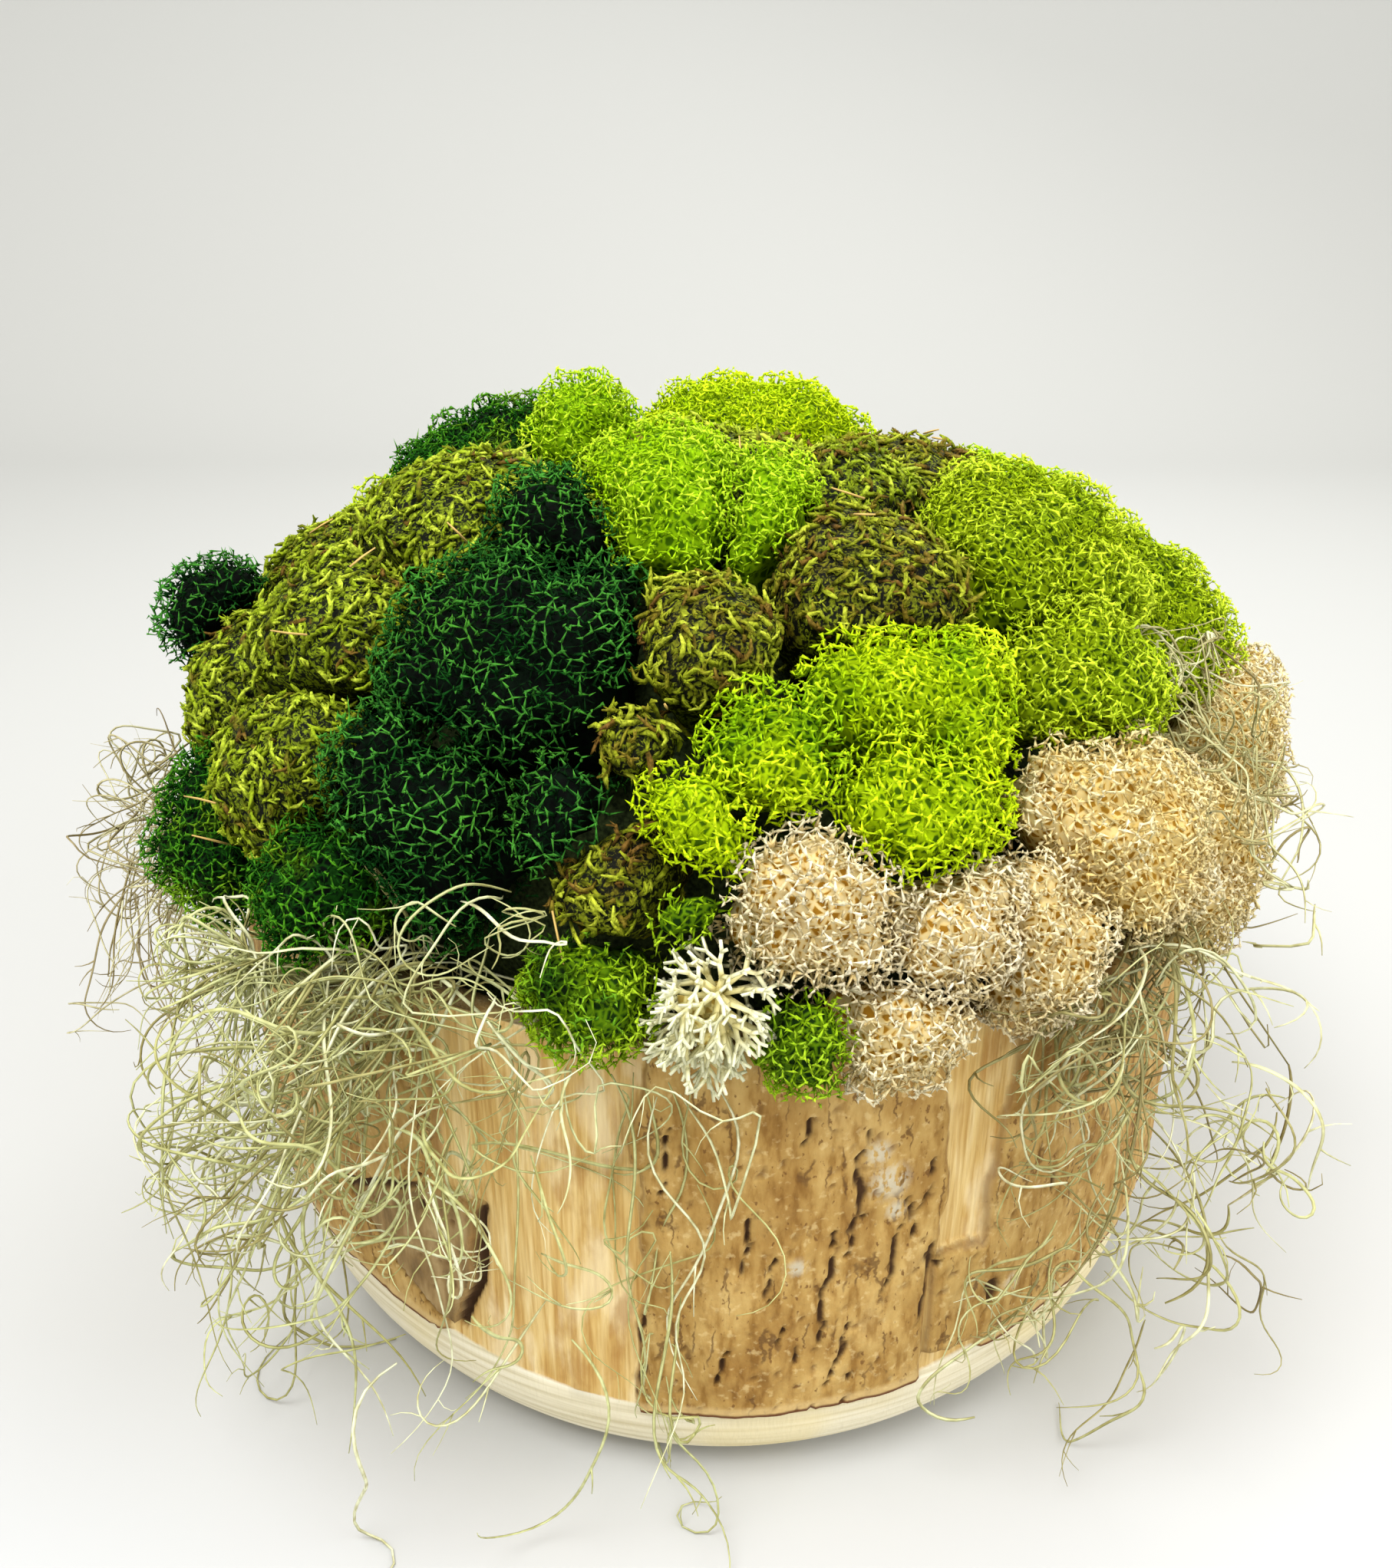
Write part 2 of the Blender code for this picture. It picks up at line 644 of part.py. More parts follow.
def join_strands(knot, strands):
    """Join the strands to the knot that they grow from, as one body."""
    group = bpy.data.collections.new(knot.name + "_strands")
    for points in strands:
        part = new_object("strand", strand_mesh(points), "spanish", 0.9)
        bpy.context.scene.collection.objects.unlink(part)
        group.objects.link(part)
    union = knot.modifiers.new("join", "BOOLEAN")
    union.operation = "UNION"
    union.operand_type = "COLLECTION"
    union.collection = group
    union.solver = "MANIFOLD"
    bpy.context.view_layer.objects.active = knot
    bpy.ops.object.modifier_apply(modifier=union.name)
    for part in list(group.objects):
        bpy.data.materials.remove(part.data.materials[0])
        bpy.data.meshes.remove(part.data)
    bpy.data.collections.remove(group)


def lay_strands(tuft, tufts, planes, count, fan, shortest, longest, laid, rng):
    """Draw routes until the bunch has its strands, each clear of all the others."""
    strands = []
    for attempt in range(count * 60):
        if len(strands) == count:
            break
        turn = math.radians(rng.uniform(-fan, fan) / 2.0)
        level = Vector((tuft["out"].x, tuft["out"].y, rng.uniform(-0.5, 0.5)))
        across = Vector((-tuft["out"].y, tuft["out"].x, 0.0))
        start = (level.normalized() * math.cos(turn) + across * math.sin(turn)).normalized()
        length = rng.uniform(shortest, longest)
        points = strand_route(tuft, tufts, planes, start, length, rng)
        if points is None or too_near(points, laid):
            continue
        strands.append(points)
        laid.append(points)
    return strands


def main():
    for obj in list(bpy.data.objects):
        bpy.data.objects.remove(obj)
    bowl = make_bowl()
    foam = make_foam_core()
    carriers = [v.co / MM for obj in (bowl, foam) for v in obj.data.vertices]
    tufts = [place_tuft(*row, carriers) for row in TUFTS]
    knots = []
    for name, round_deg, up_deg, reach, stand, *rest in SPANISH:
        knot = place_tuft(name, "spanish", "spanish", round_deg, up_deg, reach, stand, carriers)
        knots.append((knot, rest))
        tufts.append(knot)
    for seed, tuft in enumerate(tufts):
        planes = cell_planes(tuft, tufts)
        bm = tuft_mesh(tuft, planes, random.Random(seed))
        tuft["object"] = new_object(tuft["name"], bm, tuft["colour"], 0.9)
    laid = []
    for seed, (knot, rest) in enumerate(knots):
        planes = cell_planes(knot, tufts)
        strands = lay_strands(knot, tufts, planes, *rest, laid, random.Random(STRAND_SEED + seed))
        join_strands(knot["object"], strands)


main()
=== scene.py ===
# %% [markdown]
# # A moss bowl garden, grown in Blender
#
# The object is a bowl turned from one log, with its bark left on, and a mound of preserved
# mosses pressed onto a dry foam block inside it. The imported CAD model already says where
# every piece sits and how big it is. This lesson replaces each plain solid with a fine one
# that keeps its form, so we start by loading the model and noting its box.

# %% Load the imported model
import json
import math

import bpy
import numpy as np
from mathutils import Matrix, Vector, noise
from mathutils.bvhtree import BVHTree


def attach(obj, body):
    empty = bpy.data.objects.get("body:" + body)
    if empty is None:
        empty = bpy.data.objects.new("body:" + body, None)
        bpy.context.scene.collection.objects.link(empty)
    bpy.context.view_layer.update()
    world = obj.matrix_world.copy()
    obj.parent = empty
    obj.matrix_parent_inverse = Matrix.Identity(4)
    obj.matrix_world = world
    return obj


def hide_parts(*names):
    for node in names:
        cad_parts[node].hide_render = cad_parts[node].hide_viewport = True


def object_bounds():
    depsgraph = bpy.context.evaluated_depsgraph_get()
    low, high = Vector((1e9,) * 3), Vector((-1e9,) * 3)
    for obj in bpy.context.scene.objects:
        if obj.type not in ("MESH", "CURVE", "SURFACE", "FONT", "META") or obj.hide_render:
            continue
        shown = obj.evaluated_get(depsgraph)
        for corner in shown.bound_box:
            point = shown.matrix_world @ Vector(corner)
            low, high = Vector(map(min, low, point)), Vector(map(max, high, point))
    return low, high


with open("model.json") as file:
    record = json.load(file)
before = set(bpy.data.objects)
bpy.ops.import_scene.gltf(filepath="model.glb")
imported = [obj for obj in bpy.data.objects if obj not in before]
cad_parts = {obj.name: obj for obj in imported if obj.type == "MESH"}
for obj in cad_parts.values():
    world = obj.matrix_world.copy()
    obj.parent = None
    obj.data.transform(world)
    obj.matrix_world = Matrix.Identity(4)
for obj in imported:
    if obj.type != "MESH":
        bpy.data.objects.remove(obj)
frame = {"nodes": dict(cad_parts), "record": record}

MM = 0.001
cad_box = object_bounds()
cad_nodes = frame["nodes"]
print("nodes:", len(cad_nodes), "box:", [tuple(round(v, 3) for v in c) for c in cad_box])

# %% [markdown]
# Each piece takes its finish from a slot of the record. Reading the slots once lets us walk
# over the mosses by kind and never repeat a list of names.

# %% Which slot each node wears
slot_of = {part["node"]: part["material_slot"] for part in frame["record"]["subparts"]}
slot_names = sorted(set(slot_of.values()))
for slot_name in slot_names:
    print(slot_name, sum(1 for node in slot_of if slot_of[node] == slot_name))

# %% [markdown]
# ## The camera
#
# The bowl is seen from a little above. Two straight edges pin a camera down: the line where
# the surface ends behind the bowl, and the ovals of the bowl's rim and foot, whose flatness
# gives the tilt. A 32 mm lens, 25 degrees down and 0.39 m in front of the bowl fits them.

# %% Camera
CAMERA_PLACE = (0.0, -0.389, 0.319)
CAMERA_DOWN = math.radians(25.0)
CAMERA_LEFT = math.radians(0.945)
CAMERA_LENS = 32.04
SENSOR_WIDTH = 36.0
NEAREST_SEEN = 0.01
camera_data = bpy.data.cameras.new("camera")
camera_data.lens = CAMERA_LENS
camera_data.sensor_width = SENSOR_WIDTH
camera_data.clip_start = NEAREST_SEEN
camera = bpy.data.objects.new("camera", camera_data)
camera.location = CAMERA_PLACE
camera.rotation_euler = (math.pi / 2.0 - CAMERA_DOWN, 0.0, CAMERA_LEFT)
bpy.context.scene.collection.objects.link(camera)
bpy.context.scene.camera = camera
print("camera looks down by", round(math.degrees(CAMERA_DOWN), 1), "degrees")

# %% [markdown]
# ## Light and floor
#
# Moss is all small shadows, so the light must be soft enough to keep its colours and still
# come from one side enough to show its heads. One broad lamp above and in front does that,
# a second fills the right, and the pale world lights the rest. The floor runs up into a
# backdrop, well behind the bowl, so that no edge shows.

# %% Lamps and world
WORLD_COLOUR = (1.0, 0.985, 0.945, 1.0)
WORLD_STRENGTH = 1.02
bpy.context.scene.view_settings.view_transform = "Standard"
world = bpy.data.worlds.new("studio")
bpy.context.scene.world = world
world.use_nodes = True
background = world.node_tree.nodes["Background"]
background.inputs["Color"].default_value = WORLD_COLOUR
background.inputs["Strength"].default_value = WORLD_STRENGTH


def add_lamp(name, place, target, size, power):
    """A square area lamp that faces a target."""
    lamp_data = bpy.data.lights.new(name, "AREA")
    lamp_data.shape = "SQUARE"
    lamp_data.size = size
    lamp_data.energy = power
    lamp = bpy.data.objects.new(name, lamp_data)
    lamp.location = place
    lamp.rotation_euler = (Vector(target) - Vector(place)).to_track_quat("-Z", "Y").to_euler()
    bpy.context.scene.collection.objects.link(lamp)


add_lamp("key_lamp", (-0.35, -0.55, 1.35), (0.0, 0.0, 0.1), 0.7, 20.0)
add_lamp("fill_lamp", (0.9, -0.5, 0.7), (0.0, 0.0, 0.1), 0.8, 6.0)
add_lamp("back_lamp", (0.3, 0.9, 1.1), (0.0, 0.0, 0.15), 0.7, 7.0)
print("lamps:", len(bpy.data.lights))

# %% [markdown]
# The floor is one strip, as a roll of paper would be: level under the bowl, then round a
# cove and up. It needs only a section and a width.

# %% Floor and backdrop
FLOOR_HALF_WIDTH = 2.2
FLOOR_FRONT = -1.6
BACKDROP_START = 1.1
BACKDROP_RADIUS = 0.5
BACKDROP_TOP = 2.2
COVE_STEPS = 24


def backdrop_section():
    """Points of the floor's section, from the front, round a cove and up the backdrop."""
    steps = np.linspace(0.0, math.pi / 2.0, COVE_STEPS)
    cove_y = BACKDROP_START + BACKDROP_RADIUS * np.sin(steps)
    cove_z = BACKDROP_RADIUS * (1.0 - np.cos(steps))
    y = np.concatenate([[FLOOR_FRONT], cove_y, [cove_y[-1]]])
    z = np.concatenate([[0.0], cove_z, [BACKDROP_TOP]])
    return y, z


def make_floor():
    """The strip: its section at the left edge and at the right edge, joined by faces."""
    section_y, section_z = backdrop_section()
    points = [(x, y, z) for x in (-FLOOR_HALF_WIDTH, FLOOR_HALF_WIDTH)
              for y, z in zip(section_y, section_z)]
    count = len(section_y)
    faces = [(i, i + count, i + count + 1, i + 1) for i in range(count - 1)]
    mesh = bpy.data.meshes.new("floor")
    mesh.from_pydata(points, [], faces)
    mesh.shade_smooth()
    obj = bpy.data.objects.new("floor", mesh)
    bpy.context.scene.collection.objects.link(obj)
    return obj


floor = make_floor()
print("floor:", len(floor.data.polygons), "faces")

# %% [markdown]
# Light and shade are painted on the floor: a ramp of four tones along its depth makes it
# brighter near us, darker under the bowl as painted shade, and brighter again at the back.

# %% Floor tone
FLOOR_ROUGHNESS = 0.6
FLOOR_NEAR = -0.30
FLOOR_FAR = 1.30
# share of the way from near to far, and the painted tone there: light near, shade under the bowl
FLOOR_PAINTED_LIGHT_TONES = ((0.0, (0.58, 0.597, 0.63, 1.0)), (0.13, (0.478, 0.482, 0.474, 1.0)),
               (0.30, (0.495, 0.498, 0.486, 1.0)), (1.0, (0.548, 0.553, 0.536, 1.0)))


def floor_finish():
    """Pale paper with painted light and shade that change from near to far."""
    material = bpy.data.materials.new("pale_floor")
    material.use_nodes = True
    tree = material.node_tree
    shader = tree.nodes["Principled BSDF"]
    shader.inputs["Roughness"].default_value = FLOOR_ROUGHNESS
    place = tree.nodes.new("ShaderNodeTexCoord")
    axes = tree.nodes.new("ShaderNodeSeparateXYZ")
    way_back = tree.nodes.new("ShaderNodeMapRange")
    way_back.inputs["From Min"].default_value = FLOOR_NEAR
    way_back.inputs["From Max"].default_value = FLOOR_FAR
    tones = tree.nodes.new("ShaderNodeValToRGB")
    ramp = tones.color_ramp.elements
    for share, _ in FLOOR_PAINTED_LIGHT_TONES[1:-1]:
        ramp.new(share)
    for element, (_, tone) in zip(ramp, FLOOR_PAINTED_LIGHT_TONES):
        element.color = tone
    tree.links.new(place.outputs["Object"], axes.inputs["Vector"])
    tree.links.new(axes.outputs["Y"], way_back.inputs["Value"])
    tree.links.new(way_back.outputs["Result"], tones.inputs["Fac"])
    tree.links.new(tones.outputs["Color"], shader.inputs["Base Color"])
    return material


floor.data.materials.append(floor_finish())
print("floor tones:", len(FLOOR_PAINTED_LIGHT_TONES))

# %% [markdown]
# ## From arrays to a mesh
#
# A mound of moss has more than a hundred thousand little branches. Making them one by one with mesh
# operators would take minutes, so we work out whole arrays of points with numpy and hand
# each array to Blender in one go. A number kept on every point, such as how deep it lies in
# the moss, becomes an attribute that the material can read.

# %% Mesh helper


def mesh_piece(name, points, triangles, values=None):
    """A smooth-shaded object from points in millimetres, triangles and point values."""
    mesh = bpy.data.meshes.new(name)
    mesh.vertices.add(len(points))
    mesh.vertices.foreach_set("co", (points * MM).astype(np.float32).ravel())
    mesh.loops.add(triangles.size)
    mesh.loops.foreach_set("vertex_index", triangles.astype(np.int32).ravel())
    mesh.polygons.add(len(triangles))
    starts = np.arange(0, triangles.size, 3, dtype=np.int32)
    mesh.polygons.foreach_set("loop_start", starts)
    mesh.update(calc_edges=True)
    for label, numbers in (values or {}).items():
        layer = mesh.attributes.new(label, "FLOAT", "POINT")
        layer.data.foreach_set("value", np.asarray(numbers, np.float32))
    mesh.shade_smooth()
    obj = bpy.data.objects.new(name, mesh)
    bpy.context.scene.collection.objects.link(obj)
    return obj


def dress(piece, node, material):
    """Let a piece stand for a CAD node: hang it on the root body, give it its own material and hide
    the node.
    """
    piece.data.materials.append(material)
    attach(piece, "root")
    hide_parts(node)


print("sizes are in millimetres from here on, and one is", MM, "m")

# %% [markdown]
# Moss branches are far too thin for round tubes: three sides look the same from a step
# away. A branch that tapers to a point is a spike of four triangles, and a thick blunt one
# is a rod of eight. Both are closed, so every piece stays a clean solid mesh.

# %% Rods and spikes
ROD_TRIANGLES = np.array([
    (0, 2, 1), (3, 4, 5), (0, 1, 4), (0, 4, 3), (1, 2, 5), (1, 5, 4), (2, 0, 3), (2, 3, 5)])
SPIKE_TRIANGLES = np.array([(0, 2, 1), (0, 1, 3), (1, 2, 3), (2, 0, 3)])


def unit(vectors):
    """The same directions, one long."""
    return vectors / np.maximum(np.linalg.norm(vectors, axis=-1, keepdims=True), 1e-9)


def square_to(along):
    """One direction square to each given one."""
    flat_enough = np.abs(along[:, 2:3]) < 0.8
    helper = np.where(flat_enough, [[0.0, 0.0, 1.0]], [[1.0, 0.0, 0.0]])
    return unit(np.cross(along, helper))


def rings(centres, along, radii):
    """Three points round each centre, square to its direction."""
    side = square_to(along)
    other = np.cross(along, side)
    turns = 2.0 * math.pi * np.arange(3) / 3.0
    offsets = (side[:, None] * np.cos(turns)[None, :, None]
               + other[:, None] * np.sin(turns)[None, :, None])
    return centres[:, None] + offsets * np.asarray(radii).reshape(-1, 1, 1)


def rods(starts, ends, start_radii, end_radii):
    """Closed three-sided rods: their points (6 a rod) and triangles."""
    along = unit(ends - starts)
    points = np.concatenate(
        [rings(starts, along, start_radii), rings(ends, along, end_radii)], axis=1)
    first = 6 * np.arange(len(starts))[:, None, None]
    return points.reshape(-1, 3), (ROD_TRIANGLES[None] + first).reshape(-1, 3)


def spikes(bases, tips, radii):
    """Closed three-sided spikes: their points (4 a spike) and triangles."""
    along = unit(tips - bases)
    points = np.concatenate([rings(bases, along, radii), tips[:, None]], axis=1)
    first = 4 * np.arange(len(bases))[:, None, None]
    return points.reshape(-1, 3), (SPIKE_TRIANGLES[None] + first).reshape(-1, 3)


class Bundle:
    """Collects points, triangles and point values, and joins them at the end."""

    def __init__(self):
        self.points, self.triangles, self.lights, self.tints = [], [], [], []
        self.size = 0

    def add(self, points, triangles, lights, tints):
        """Take in a mesh, with how near the light and how pale each point is."""
        self.points.append(points)
        self.triangles.append(triangles + self.size)
        self.lights.append(np.broadcast_to(lights, len(points)))
        self.tints.append(np.broadcast_to(tints, len(points)))
        self.size += len(points)

    def object(self, name, hue=0.0):
        """Join all that was taken in; the hue is one number for the whole piece."""
        values = {"light": np.concatenate(self.lights), "tint": np.concatenate(self.tints),
                  "hue": np.full(self.size, hue)}
        points = np.concatenate(self.points)
        return mesh_piece(name, points, np.concatenate(self.triangles), values)


print("a rod has", len(ROD_TRIANGLES), "triangles and a spike", len(SPIKE_TRIANGLES))

# %% [markdown]
# ## The log bowl: its form
#
# The bowl is the log itself. The outside keeps the log's waves, its bark with plates and
# cracks, and stretches of bare sapwood where the bark has come off. Below the bark's lower
# edge the lathe has cut a smooth pale belly down to the foot. We wrap one fine grid round
# it: every row of points is a ring at one height, and the same few formulas as in the CAD
# say how far out each point lies. Relief is added on top by functions of place.

# %% Driving sizes of the bowl
BOWL_RADIUS_X = 143.0
BOWL_RADIUS_Y = 140.0
BOWL_HEIGHT = 138.0
FOOT_RADIUS = 100.0
BARK_THICKNESS = 3.0
# middle and half width of each stretch of bare wood, in degrees from the front
BARE_STRETCHES = ((-18.5, 11.5), (26.0, 3.5), (128.0, 12.0), (-150.0, 16.0))
ROUND_STEPS = 440
FRONT_CROWDING = 0.45
WALL_STEPS = 92
BELLY_STEPS = 12
# millimetres along the wall for each degree round
ARC_PER_DEGREE = BOWL_RADIUS_X * math.pi / 180.0


def fractal(points, scale, octaves=4):
    """Smooth noise of about -1 to 1 at each point; scale is in millimetres."""
    return np.array([noise.fractal(Vector(p) / scale, 1.0, 2.1, octaves) for p in points])


def fade(values, low, high):
    """0 below low, 1 above high, and an even blend between."""
    share = np.clip((values - low) / (high - low), 0.0, 1.0)
    return share * share * (3.0 - 2.0 * share)


def log_swell(angles):
    """The log's own gentle waves, left out of round."""
    return np.sin(3.0 * angles + 0.6) + 0.7 * np.sin(5.0 * angles + 2.0)


def bark_edge(angles):
    """Height of the bark's lower edge, which rises towards both sides."""
    return 27.5 + 20.0 * np.sin(angles) ** 2


def rim_height(angles):
    """The height of the sawn rim, which is not quite level."""
    return BOWL_HEIGHT - 0.6 + 0.6 * np.sin(7.0 * angles + 0.4)


def from_front(angles, centre_deg):
    """Degrees round from a place on the wall, from -180 to 180."""
    return (np.degrees(angles) - centre_deg + 180.0) % 360.0 - 180.0


print("the bark's edge is", bark_edge(0.0), "to", bark_edge(math.pi / 2.0), "mm above the table")

# %% [markdown]
# Where is bark and where is bare wood? Every stretch has a ragged edge, because bark tears
# along its own cracks, so noise shifts the edge by a few degrees. On the left a flake of
# bark still clings to the lower part of the bare stretch, and a smaller one on the right.

# %% Bark cover
# degrees from the front and height of each corner
FLAKE_CORNERS = ((-43.5, 66.0), (-30.5, 81.0), (-24.6, 80.0),
                 (-25.6, 58.0), (-28.4, 38.0), (-36.0, 48.0))
# middle, half width in degrees and half height
SMALL_FLAKE = ((27.0, 53.0), 4.5, 17.0)


def inside_by(angles, heights, corners):
    """How far inside a convex outline each point is, in millimetres; below 0 outside."""
    x = from_front(angles, 0.0) * ARC_PER_DEGREE
    depth = np.full_like(angles, np.inf)
    points = [(degrees * ARC_PER_DEGREE, z) for degrees, z in corners]
    for (x0, z0), (x1, z1) in zip(points, points[1:] + points[:1]):
        length = math.hypot(x1 - x0, z1 - z0)
        from_side = ((z1 - z0) * (x - x0) - (x1 - x0) * (heights - z0)) / length
        depth = np.minimum(depth, from_side)
    return depth


def bark_cover(angles, heights, ragged):
    """1 where the log keeps its bark, 0 where it is bare."""
    cover = np.ones_like(angles)
    for centre, half_width in BARE_STRETCHES:
        away = np.abs(from_front(angles, centre)) + 1.6 * ragged
        cover = np.minimum(cover, fade(away, half_width - 0.4, half_width + 0.5))
    (centre, height), half_width, half_height = SMALL_FLAKE
    across = np.abs(from_front(angles, centre) + 0.7 * ragged) / half_width
    up = np.abs(heights - height + 2.5 * ragged) / half_height
    return np.maximum(cover, 1.0 - fade(np.maximum(across, up), 0.97, 1.03))


all_round = np.radians(np.arange(360.0))
bare_share = 1.0 - bark_cover(all_round, 0.0 * all_round + 100.0, 0.0 * all_round).mean()
print("bare wood goes", round(bare_share, 2), "of the way round at a height of 100 mm")

# %% [markdown]
# The bark is furrowed: narrow cracks run up the log, wander and break off. Those that catch
# the eye are listed, as degrees and heights on the wall, and many fine ones are
# drawn at random round the whole log. Each one is a spindle round a wavy middle line.

# %% Cracks and pits
CRACK_COUNT = 150
NAMED_CRACKS = (
    # degrees from the front, lower and upper height, lean, half width
    (13.6, 82.0, 108.0, 0.3, 1.1), (11.0, 50.0, 86.0, 1.6, 0.9), (12.6, 34.0, 58.0, 2.0, 0.8),
    (3.0, 74.0, 94.0, 0.6, 0.6), (5.5, 64.0, 80.0, 0.7, 0.7), (8.4, 109.0, 120.0, 0.4, 0.6),
    (19.3, 79.0, 92.0, -0.5, 0.7), (17.6, 62.0, 84.0, 1.8, 0.7), (21.8, 47.0, 80.0, 1.0, 1.1),
    (21.0, 84.0, 104.0, 0.4, 0.6), (-14.2, 105.0, 119.0, -1.5, 0.5), (1.0, 38.0, 52.0, 0.5, 0.5),
    (-4.5, 96.0, 118.0, 1.2, 0.5), (13.4, 28.0, 40.0, 0.4, 0.7), (30.4, 46.0, 55.0, 0.5, 2.6),
    (-7.2, 26.0, 62.0, 1.0, 0.8))
# degrees, height and radius of the grey lichen spots
LICHEN_SPOTS = ((16.7, 98.0, 7.0), (15.4, 107.5, 4.5), (8.0, 76.0, 3.5),
                (17.6, 89.0, 3.5), (33.0, 51.0, 4.0))


def all_cracks():
    """The listed cracks and the random ones, as columns of the same five numbers."""
    rng = np.random.default_rng(7)
    low = rng.uniform(24.0, 118.0, CRACK_COUNT)
    centre = rng.uniform(-180.0, 180.0, CRACK_COUNT)
    high = low + rng.gamma(2.5, 4.5, CRACK_COUNT)
    lean = rng.normal(0.0, 0.8, CRACK_COUNT)
    half_width = rng.uniform(0.25, 0.6, CRACK_COUNT)
    fine = np.stack([centre, low, high, lean, half_width], axis=1)
    return np.concatenate([np.array(NAMED_CRACKS), fine]).T


CRACKS = all_cracks()


def crack_depth(angles, heights):
    """How deep inside a crack each point of a row is, 0 to 1."""
    centre, low, high, lean, half_width = CRACKS[:, :, None]
    share = (heights[None] - low) / (high - low)
    wave = 0.30 * np.sin(heights / 3.4 + centre * 5.0)
    wave = wave + 0.13 * np.sin(heights / 1.2 + centre * 9.0)
    middle = centre + lean * (share - 0.5) + wave
    away = np.abs(from_front(angles[None], middle)) * ARC_PER_DEGREE
    swell = 0.95 + 0.3 * np.sin(heights / 2.3 + centre * 3.0)
    spindle = np.sqrt(np.clip(4.0 * share * (1.0 - share), 0.0, 1.0))
    width = half_width * swell * spindle + 1e-3
    inside = (share > 0.0) & (share < 1.0)
    return (inside * np.clip(1.2 - away / width, 0.0, 1.0)).max(axis=0)


def lichen_cover(angles, heights):
    """How much of a lichen spot each point of a row is in, 0 to 1."""
    cover = np.zeros_like(angles)
    for centre, height, radius in LICHEN_SPOTS:
        across = np.abs(from_front(angles, centre)) * ARC_PER_DEGREE
        away = np.hypot(across, heights - height) / radius
        cover = np.maximum(cover, 1.0 - fade(away, 0.3, 1.0))
    return cover


def bark_relief(places, angles, heights):
    """Relief of the bark in millimetres, and how much of a crack and a pit each point is in."""
    wander = fractal(places * (1.0, 1.0, 0.3), 26.0)
    plates = fractal(places * (1.0, 1.0, 0.6), 8.0, 5)
    cracks = crack_depth(angles, heights)
    pits = fade(fractal(places * (1.0, 1.0, 0.8) + 50.0, 2.7, 2), 0.45, 0.75)
    relief = 0.7 * wander + 0.55 * plates - 2.2 * cracks - 0.8 * pits
    return relief, cracks, pits


def wood_relief(places):
    """Relief of the bare sapwood: long fibres along the log, torn here and there."""
    fibres = fractal(places * (1.0, 1.0, 0.06), 2.6, 3)
    tears = fractal(places * (1.0, 1.0, 0.25) + 700.0, 16.0, 3)
    return 0.28 * fibres + 0.7 * tears


print("cracks:", CRACKS.shape[1], "lichen spots:", len(LICHEN_SPOTS))

# %% [markdown]
# Now the grid. Rows from the foot up the turned belly, a small ledge where the bark starts,
# then rows up the wall, over the rim and down the inside. Each row carries values that the
# material will need: how much of a point is bark, crack, pit, flake or turned wood.

# %% Rows of the outer wall
WALL_INSET = 1.5
FLAKE_GAP_DEPTH = 2.0
RIM_ROUNDING = 3.0
RIM_INSET = 1.2
BELLY_INSET = 1.2
BELLY_DROP = 0.8
TOOL_MARK_DEPTH = 0.08


def ring_points(angles, radius_x, radius_y, heights):
    """A ring of points, the angle running round from the front."""
    return np.stack([radius_x * np.sin(angles), -radius_y * np.cos(angles), heights], axis=1)


def wall_rows(angles):
    """Points of the wall, low to high, with the values each of them carries."""
    ragged_edge = fractal(ring_points(angles, 30.0, 30.0, 0.0 * angles), 4.0)
    low = bark_edge(angles) + 0.35 * ragged_edge
    rows = []
    for share in np.linspace(0.0, 1.0, WALL_STEPS):
        heights = low + share * (rim_height(angles) - low)
        places = ring_points(angles, BOWL_RADIUS_X, BOWL_RADIUS_Y, heights)
        ragged = fractal(places * (1.0, 1.0, 0.5) + 20.0, 14.0, 4)
        flake_depth = inside_by(angles, heights, FLAKE_CORNERS) + 1.2 * ragged
        flake = fade(flake_depth, -0.5, 0.6)
        gap = fade(np.abs(flake_depth + 1.1), 1.5, 0.5) * fade(heights, 84.0, 76.0)
        bark = np.maximum(bark_cover(angles, heights, ragged), flake)
        relief, cracks, pits = bark_relief(places, angles, heights)
        out = log_swell(angles) - WALL_INSET + bark * relief + flake
        out += (1.0 - bark) * (wood_relief(places) - BARK_THICKNESS)
        out -= FLAKE_GAP_DEPTH * gap * (1.0 - flake)
        top = fade(heights, BOWL_HEIGHT - RIM_ROUNDING, BOWL_HEIGHT)
        out -= RIM_INSET * top * top
        points = ring_points(angles, BOWL_RADIUS_X + out, BOWL_RADIUS_Y + out, heights)
        values = {"turned": 0.0 * angles, "bark": bark, "crack": np.maximum(cracks * bark, gap),
                  "pit": pits * bark, "flake": flake, "lichen": lichen_cover(angles, heights) * bark,
                  "above": (heights - low) / 10.0}
        rows.append((points, values))
    return rows


def belly_rows(angles, ledge):
    """Points of the turned belly, from the foot to the bark's edge."""
    rows = []
    inset = BARK_THICKNESS + BELLY_INSET - log_swell(angles)
    span_x = BOWL_RADIUS_X - inset - FOOT_RADIUS
    span_y = BOWL_RADIUS_Y - inset - FOOT_RADIUS
    for turn in np.linspace(0.0, math.pi / 2.0, BELLY_STEPS):
        out = math.sin(turn) ** 0.7 if turn > 0.0 else 0.0
        heights = (ledge - BELLY_DROP) * (1.0 - math.cos(turn)) ** 1.3
        tool_marks = TOOL_MARK_DEPTH * math.sin(turn * 90.0)
        rows.append(ring_points(
            angles, FOOT_RADIUS + span_x * out + tool_marks,
            FOOT_RADIUS + span_y * out + tool_marks, heights))
    return rows


print("rows: belly", BELLY_STEPS, "and wall", WALL_STEPS, "of", ROUND_STEPS, "points each")

# %% [markdown]
# All rows have the same number of points, so joining them takes two triangles for each step
# round and up. A fan of triangles closes the foot and the inner floor, which makes the bowl
# one closed skin. The steps round are closer together at the front, where one looks.

# %% Skin the rows
# how far in from the outer wall each inner row lies, and its drop below the rim
LIP_ROWS = ((5.5, -0.1), (10.0, 0.2), (14.0, 1.0))
